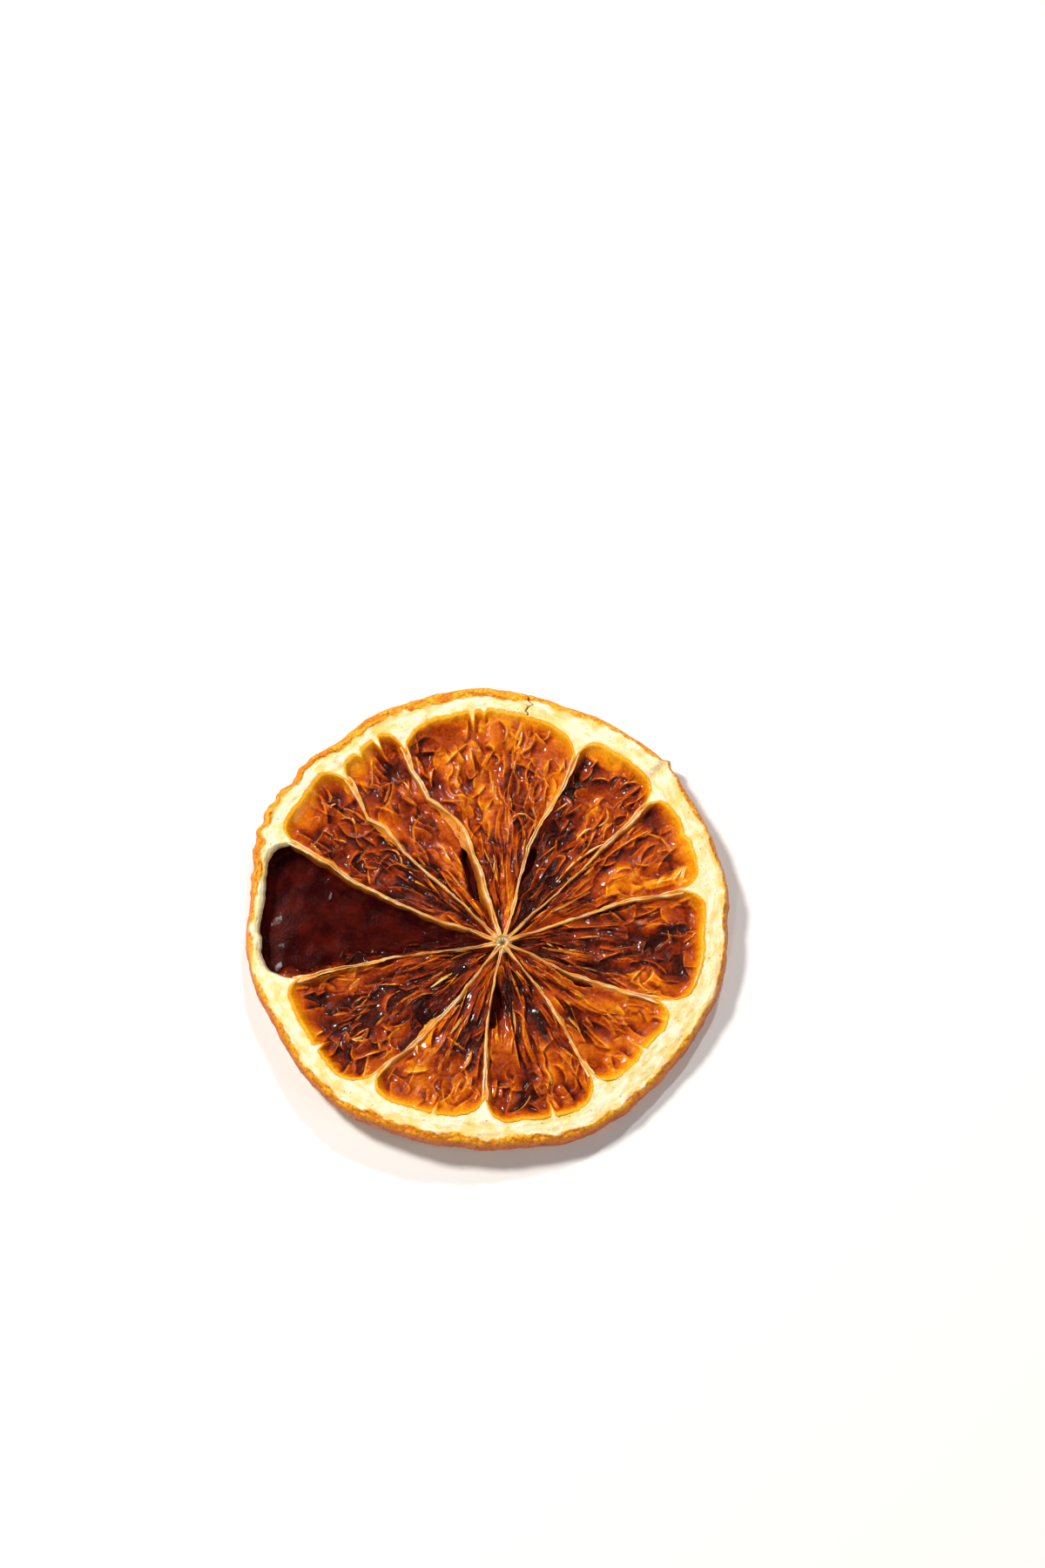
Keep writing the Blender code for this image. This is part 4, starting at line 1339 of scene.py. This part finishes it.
def wall_mesh(wall):
    """A double skin that stands from the core to the pith: wavy, a little flopped, thicker at both ends."""
    seed = 3000 + 40 * wall
    share = np.linspace(WALL_START, WALL_END, WALL_ROWS)
    place = place_on(wall, np.array([0.0]), share[:, None])
    direction, distance = place.direction[:, 0], place.distance[:, 0]
    own = np.full_like(distance, 3.7 * wall)

    def noise(size, number, layers=3, level=0.0):
        """Rough ground along the wall with lumps of a size in millimetres, which changes with the level."""
        return rough(distance / size, own + 3.0 * level, seed + number, layers)

    free = ease(distance / 6.0) * ease((1.0 - share) / 0.1)
    sway = 0.40 * noise(4.5, 1) * free
    lean, thin_within, skirt_at, skirt_width = WALL_LOOKS[wall]
    skirt = skirt_width * np.exp(-((np.abs(share - skirt_at) / SKIRT_REACH) ** 3)) * free
    torn = np.abs(skirt) / (0.3 + np.abs(skirt))
    ragged = 0.22 * noise(0.4, 9) * np.clip(skirt, -1.0, 1.0)
    stout = ease((share - thin_within) / 0.25 + 0.5)
    crest = RIM_THICKNESS - WALL_DROP - WALL_SAG * np.sin(math.pi * np.clip(share, 0.0, 1.0)) + 0.2
    crest = crest + 0.22 * noise(1.9, 0) - 0.2 * (1.0 - stout)
    crest = crest + 0.05 * noise(0.5, 10, 2) * free
    foot = FOOT_HEIGHT + 0.2 * noise(2.3, 8)
    flop = (lean + 0.5 * noise(3.6, 2)) * free
    half = 0.5 * WALL_WIDTH * (1.0 + 0.9 * noise(1.8, 3)) * mix(0.55, 1.0, stout)
    half = half + 0.30 * ease((share - 0.86) / 0.14) + 0.18 * ease((0.2 - share) / 0.2)
    bright = ease(0.55 + 1.2 * noise(1.7, 6)) * mix(0.35, 1.0, stout)
    split = ease(0.35 + 0.9 * noise(3.0, 5))
    grid, edge, tone = [], [], []
    for level, width, hang in WALL_SECTION:
        inner = abs(width) < 0.5 and level > 0.9
        cut = 1.0 if inner else max(ease((level - 0.84) / 0.12), ease((0.3 - level) / 0.15))
        level = 1.0 - (1.0 - level) * split * 2.2 if inner else level
        hangs = width * skirt_width > 0.0
        hung = hangs * torn
        wrinkle = 0.05 * noise(0.6, 11, 2, level) * free
        sideways = sway * level + flop * (level**3 - 1.0) + half * width + wrinkle
        sideways = sideways + hangs * (skirt * hang + ragged * (hang > 0.9))
        x, y = from_core(direction, distance)
        x, y = x - sideways * np.sin(direction), y + sideways * np.cos(direction)
        grid.append(warped(x, y, mix(foot, crest, level)))
        below_crest = 1.0 - 0.95 * hung * (level < 0.97)
        edge.append(cut * (1.0 - 0.75 * inner) * mix(0.25, 1.0, bright) * below_crest)
        shade = mix(0.85 * np.abs(2.0 * level - 1.0) ** 1.8, 0.45 + 0.5 * (hang > 0.9), hung * (hang > 0.05))
        tone.append(shade + 0.3 * noise(2.0, 4, 3, level))
    points = np.stack(grid, axis=1)
    rows, columns = points.shape[:2]
    faces = [face[::-1] for face in tube_faces(rows, columns)]
    ups, outs, _ = np.array(WALL_SECTION).T
    places = (distance[:, None] + FIBRE_SHIFT * wall, 0.5 * WALL_WIDTH * outs, RIM_THICKNESS * ups)
    along, across, up = (np.broadcast_to(place, (rows, columns)) for place in places)
    own_values = (np.stack(edge, axis=1), np.clip(np.stack(tone, axis=1), 0.0, 1.0), along, across, up)
    return points.reshape(-1, 3), faces, dict(zip(WALL_VALUES, own_values))


# The core.

CORE_RADIUS = 1.5
CORE_COLUMNS = 96

# The core's section from the middle of its top to the middle of its underside: how far out, in its radii,
# and how high.
CORE_SECTION = (
    (0.06, 2.5),
    (0.2, 2.65),
    (0.4, 3.05),
    (0.65, 3.15),
    (0.85, 3.0),
    (1.0, 2.5),
    (1.0, 1.2),
    (0.85, 0.6),
    (0.5, 0.5),
    (0.06, 0.5),
)


def core_mesh():
    """The pithy core that the walls meet in: a small ragged star with a hole that has dried shut."""
    direction = np.linspace(0.0, 2.0 * math.pi, CORE_COLUMNS, endpoint=False)
    star = np.zeros_like(direction)
    for wall in np.degrees(WALL_ANGLES[:-1] + WALL_LEANS[:-1]):
        star = np.maximum(star, np.exp(-((degrees_from(direction, wall) / 7.0) ** 2)))
    radius = CORE_RADIUS * (0.8 + 0.65 * star + 0.12 * around(direction, 4.0, 701))
    grid, tint, hollow = [], [], []
    for share, height in CORE_SECTION:
        x, y = from_core(direction, share * radius)
        grid.append(warped(x, y, height + 0.12 * uneven(x, y, 0.6, 705)))
        tint.append(np.clip(1.0 - ease(share * 2.5) + 0.3 * star, 0.0, 1.0))
        hollow.append(np.full_like(direction, 0.85 * ease(1.4 - 4.0 * share)))
    faces = tube_faces(len(CORE_SECTION), CORE_COLUMNS)
    return np.concatenate(grid), faces, {"tint": np.stack(tint), "crack": np.stack(hollow)}


# Edges of torn skins, which stand up from the pulp along its folds.

# Larger torn skins that stand or lean: middle (x, y), turn (degrees), half length, bend, height, and how far
# it leans to its left (degrees).
FLAPS_THAT_SHOW = (
    (-8.6, 9.2, -78.0, 1.8, 0.20, 0.6, 30.0),
    (-13.4, 17.6, 75.0, 1.4, 0.05, 0.5, -35.0),
    (-21.6, 17.2, -62.0, 1.3, -0.25, 0.5, 40.0),
    (22.6, 8.6, 52.0, 1.6, 0.15, 0.5, -30.0),
    (18.2, 16.3, 38.0, 1.6, -0.10, 0.5, 35.0),
)

# The strands: points along one, how thick and how high it is (mm), the share of the scattered folds that
# carry one, how pale a flap is, and from how far its line is dropped onto the pulp (m).
STRAND_POINTS = 14
STRAND_THICKNESS = 0.065
STRAND_HEIGHT = 0.22
UNDER_STRAND_HEIGHT = 0.6 * STRAND_HEIGHT
STRANDS_SHARE = 0.65
FLAP_PALE = 0.85
CAST_FROM = 20.0 * METRE


def edge_strands(folds, pick):
    """The folds that carry a strand along their edge: middle (x, y), turn, half length and bend as before,
    then the strand's size, its lean (radians) and how pale it is."""
    rows = []
    for *line, rise, pale in folds:
        if pale > TORN_PALE or pick.uniform() < STRANDS_SHARE:
            lean = math.copysign(0.5, rise) + pick.normal(0.0, 0.4)
            shown = 1.0 if pale > TORN_PALE else pick.uniform(0.72, 1.0)
            rows.append((*line, pick.uniform(0.4, 1.2), lean, shown))
    return rows


def strand_lines(rows, surface, from_above):
    """The lines of strands, laid on a surface: points, edges, and for each point how big the strand is there,
    how it leans and how pale it is."""
    points, edges, size, lean, pale = [], [], [], [], []
    start, way = (CAST_FROM, -1.0) if from_above else (-CAST_FROM, 1.0)
    for x, y, turn, half, bend, own_size, own_lean, own_pale in rows:
        along = np.linspace(-half, half, STRAND_POINTS)
        over = bend * (along**2 - half**2) + 0.05 * rough(along / 0.7 + 10.0 * x, 0.0 * along + y, 801, 2)
        line_x, line_y = turned(along, over, -turn)
        line_x, line_y = x + line_x - MIDDLE_X, y + line_y - MIDDLE_Y
        line = []
        for spot_x, spot_y in zip(line_x * METRE, line_y * METRE):
            hit = surface.ray_cast(Vector((spot_x, spot_y, start)), Vector((0.0, 0.0, way)))[0]
            if hit is None:
                break
            line.append(tuple(hit))
        if len(line) < STRAND_POINTS:
            continue
        heights = np.array([spot[2] for spot in line])
        heights = np.convolve(np.pad(heights, 2, mode="edge"), np.ones(5) / 5.0, mode="valid")
        first = len(points)
        points += [(spot[0], spot[1], height) for spot, height in zip(line, heights)]
        edges += [(first + number, first + number + 1) for number in range(STRAND_POINTS - 1)]
        taper = np.sin(np.pi * np.linspace(0.04, 0.96, STRAND_POINTS)) ** 0.6
        size += list(taper * own_size)
        lean += list(own_lean + 0.4 * np.linspace(-1.0, 1.0, STRAND_POINTS))
        pale += [own_pale] * STRAND_POINTS
    return points, edges, size, lean, pale


def strand_nodes(material):
    """Sweeps a thin upright lens along each line, and says how thin the skin is from its foot to its edge."""
    tree = bpy.data.node_groups.new("membrane_strands", "GeometryNodeTree")
    tree.is_modifier = True
    tree.interface.new_socket("Geometry", in_out="INPUT", socket_type="NodeSocketGeometry")
    for name in ("Thickness", "Height"):
        tree.interface.new_socket(name, in_out="INPUT", socket_type="NodeSocketFloat")
    tree.interface.new_socket("Geometry", in_out="OUTPUT", socket_type="NodeSocketGeometry")
    given = add_node(tree, "NodeGroupInput").outputs
    size, lean, pale, rise = (
        add_node(tree, "GeometryNodeInputNamedAttribute", None, {"Name": title}).outputs["Attribute"]
        for title in ("size", "lean", "pale", "rise")
    )
    circle = add_node(tree, "GeometryNodeCurvePrimitiveCircle", None, {"Resolution": 6, "Radius": 1.0})
    where = add_node(tree, "GeometryNodeInputPosition").outputs["Position"]
    upward = add_node(tree, "ShaderNodeSeparateXYZ", None, {"Vector": where}).outputs["Y"]
    inputs = {"Value": upward, "From Min": -0.6, "From Max": 0.9}
    risen = add_node(tree, "ShaderNodeMapRange", None, inputs).outputs["Result"]
    inputs = {"Geometry": circle.outputs["Curve"], "Name": "rise", "Value": risen}
    profile = add_node(tree, "GeometryNodeStoreNamedAttribute", None, inputs).outputs["Geometry"]
    inputs = {"X": given["Thickness"], "Y": given["Height"], "Z": 1.0}
    lens = add_node(tree, "ShaderNodeCombineXYZ", None, inputs).outputs["Vector"]
    inputs = {0: given["Height"], 1: 0.5}
    half_up = add_node(tree, "ShaderNodeMath", {"operation": "MULTIPLY"}, inputs).outputs["Value"]
    shift = add_node(tree, "ShaderNodeCombineXYZ", None, {"Y": half_up}).outputs["Vector"]
    inputs = {"Geometry": profile, "Translation": shift, "Scale": lens}
    profile = add_node(tree, "GeometryNodeTransform", None, inputs).outputs["Geometry"]
    lines = add_node(tree, "GeometryNodeMeshToCurve", None, {"Mesh": given["Geometry"]}).outputs["Curve"]
    lines = add_node(tree, "GeometryNodeSetCurveNormal", {"mode": "Z_UP"}, {"Curve": lines}).outputs["Curve"]
    inputs = {"Curve": lines, "Tilt": lean}
    lines = add_node(tree, "GeometryNodeSetCurveTilt", None, inputs).outputs["Curve"]
    inputs = {"Curve": lines, "Profile Curve": profile, "Scale": size, "Fill Caps": True}
    mesh = add_node(tree, "GeometryNodeCurveToMesh", None, inputs).outputs["Mesh"]
    inputs = {"Value": rise, "From Max": 0.8, "To Min": 0.5, "To Max": 1.1}
    thin = add_node(tree, "ShaderNodeMapRange", None, inputs).outputs["Result"]
    thin = add_node(tree, "ShaderNodeMath", {"operation": "MULTIPLY"}, {0: thin, 1: pale}).outputs["Value"]
    inputs = {"Geometry": mesh, "Name": "thin", "Value": thin}
    mesh = add_node(tree, "GeometryNodeStoreNamedAttribute", None, inputs).outputs["Geometry"]
    mesh = add_node(tree, "GeometryNodeSetShadeSmooth", None, {"Geometry": mesh}).outputs["Geometry"]
    mesh = add_node(tree, "GeometryNodeRealizeInstances", None, {"Geometry": mesh}).outputs["Geometry"]
    inputs = {"Geometry": mesh, "Material": material}
    mesh = add_node(tree, "GeometryNodeSetMaterial", None, inputs).outputs["Geometry"]
    add_node(tree, "NodeGroupOutput", None, {"Geometry": mesh})
    return tree


def grown_piece(name, guide, tree, values):
    """The mesh that a geometry nodes tree makes from a guide mesh, as a plain piece. The values go to the
    tree's inputs by name."""
    grower = bpy.data.objects.new(name + "_guide", guide)
    bpy.context.scene.collection.objects.link(grower)
    modifier = grower.modifiers.new("nodes", "NODES")
    modifier.node_group = tree
    for item in tree.interface.items_tree:
        if item.in_out == "INPUT" and item.name in values:
            modifier[item.identifier] = values[item.name]
    bpy.context.view_layer.update()
    seen = grower.evaluated_get(bpy.context.evaluated_depsgraph_get())
    mesh = bpy.data.meshes.new_from_object(seen)
    mesh.name = name
    bpy.data.objects.remove(grower)
    piece = bpy.data.objects.new(name, mesh)
    bpy.context.scene.collection.objects.link(piece)
    return piece


def membrane_strands(name, rows, side, height, tree):
    """One piece from the strand lines of all segments, on a side: 1 for the top and -1 for underneath."""
    points, edges, size, lean, pale = [], [], [], [], []
    for own_points, own_edges, own_size, own_lean, own_pale in rows:
        edges += [(first + len(points), second + len(points)) for first, second in own_edges]
        points += own_points
        size += own_size
        lean += own_lean
        pale += own_pale
    guide = bpy.data.meshes.new(name + "_guide")
    guide.from_pydata(points, edges, [])
    store_values(guide, {"size": size, "lean": lean, "pale": pale})
    sizes = {"Thickness": side * STRAND_THICKNESS * METRE, "Height": side * height * METRE}
    return grown_piece(name, guide, tree, sizes)


# The stage.


def build_floor():
    """A sheet of matt white card under the slice."""
    material, _, shader = new_material("white_card")
    shader.inputs["Base Color"].default_value = srgb("#F7F6F4")
    shader.inputs["Roughness"].default_value = 0.9
    bpy.ops.mesh.primitive_plane_add(size=3.0)
    floor = bpy.context.object
    floor.name = "floor"
    floor.data.materials.append(material)


# The camera: how steeply it looks down (degrees) and from how far (m). SEEN_AT is how far beyond the middle
# of the slice the point lies that the photo has at SEEN_PIXEL.
CAMERA_ELEVATION = 72.0
CAMERA_DISTANCE = 0.52
SEEN_AT = 16.0
SEEN_PIXEL = (558.5, 920.3)
FRAME_PIXELS = (1200.0, 1800.0)
PIXEL_SIZE = 0.1168 * METRE
SENSOR = 36.0


def build_camera():
    """The photo's view of the cut face: from above, at 72 degrees to it, with the middle of what the photo
    shows of it where the photo has it."""
    tilt = math.radians(90.0 - CAMERA_ELEVATION)
    up = Vector((0.0, math.cos(tilt), math.sin(tilt)))
    back = Vector((0.0, -math.sin(tilt), math.cos(tilt)))
    right = Vector((1.0, 0.0, 0.0))
    seen = Vector((-MIDDLE_X, SEEN_AT - MIDDLE_Y, RIM_THICKNESS)) * METRE
    aside = (FRAME_PIXELS[0] / 2 - SEEN_PIXEL[0]) * PIXEL_SIZE
    above = (SEEN_PIXEL[1] - FRAME_PIXELS[1] / 2) * PIXEL_SIZE
    camera = bpy.data.objects.new("camera", bpy.data.cameras.new("camera"))
    camera.location = seen + right * aside + up * above + back * CAMERA_DISTANCE
    camera.rotation_euler = (tilt, 0.0, 0.0)
    camera.data.lens = SENSOR * CAMERA_DISTANCE / (FRAME_PIXELS[1] * PIXEL_SIZE)
    camera.data.sensor_width = SENSOR
    camera.data.clip_start = 0.01
    bpy.context.scene.collection.objects.link(camera)
    bpy.context.scene.camera = camera


# Each light: where it is (m), how wide it is (m), its power (W) and its colour. All of them face the slice.
LIGHTS = {
    "soft_key": ((-0.35, 0.25, 0.52), 0.12, 4.3, "#FFFBF4"),
    "soft_fill": ((0.55, -0.25, 0.45), 0.4, 0.8, "#FFFFFF"),
    "small_glint": ((0.12, 0.45, 0.5), 0.04, 1.5, "#FFFFFF"),
    "low_glint": ((-0.1, -0.5, 0.3), 0.04, 0.5, "#FFFFFF"),
}
WORLD_STRENGTH = 0.16


def build_lights():
    """Round soft lights and small glints, in a dim white studio."""
    for name, (place, size, power, colour) in LIGHTS.items():
        light = bpy.data.objects.new(name, bpy.data.lights.new(name, "AREA"))
        light.data.shape = "DISK"
        light.data.size = size
        light.data.energy = power
        light.data.color = srgb(colour)[:3]
        light.location = place
        light.rotation_euler = (-Vector(place)).to_track_quat("-Z", "Y").to_euler()
        bpy.context.scene.collection.objects.link(light)
    world = bpy.data.worlds.new("studio")
    bpy.context.scene.world = world
    world.use_nodes = True
    world.node_tree.nodes["Background"].inputs["Color"].default_value = srgb("#FFFFFF")
    world.node_tree.nodes["Background"].inputs["Strength"].default_value = WORLD_STRENGTH
    bpy.context.scene.view_settings.view_transform = "Standard"


def main():
    """Builds the stage, then the rind, the pulp with its torn skins, the walls and the core."""
    build_camera()
    build_lights()
    build_floor()
    rind, pulp, wall = dried_rind_material(), dried_pulp_material(), dried_wall_material()
    points, faces, values = rind_mesh()
    finished(new_piece("rind", points, faces, rind, values))
    on_top, on_under, standing = [], [], []
    for segment in range(COUNT):
        points, faces, values, (top_folds, under_folds) = pulp_mesh(segment)
        finished(new_piece(f"pulp_{segment + 1}", points, faces, pulp, values))
        surface = BVHTree.FromPolygons((points * METRE).tolist(), faces)
        pick = np.random.RandomState(900 + segment)
        flaps = [
            (*row[:5], row[5] / STRAND_HEIGHT, math.radians(row[6]), FLAP_PALE)
            for row in FLAPS_THAT_SHOW
            if belongs_to(segment, row[0], row[1])
        ]
        on_top.append(strand_lines(edge_strands(top_folds, pick), surface, True))
        on_under.append(strand_lines(edge_strands(under_folds, pick), surface, False))
        standing.append(strand_lines(flaps, surface, True))
    tree = strand_nodes(pulp)
    finished(membrane_strands("membrane_strands_top", on_top, 1, STRAND_HEIGHT, tree))
    finished(membrane_strands("membrane_strands_under", on_under, -1, UNDER_STRAND_HEIGHT, tree))
    finished(membrane_strands("membrane_flaps", standing, 1, STRAND_HEIGHT, tree))
    for number in range(COUNT):
        points, faces, values = wall_mesh(number)
        finished(new_piece(f"wall_{number + 1}", points, faces, wall, values))
    points, faces, values = core_mesh()
    finished(new_piece("core", points, faces, rind, values))


main()
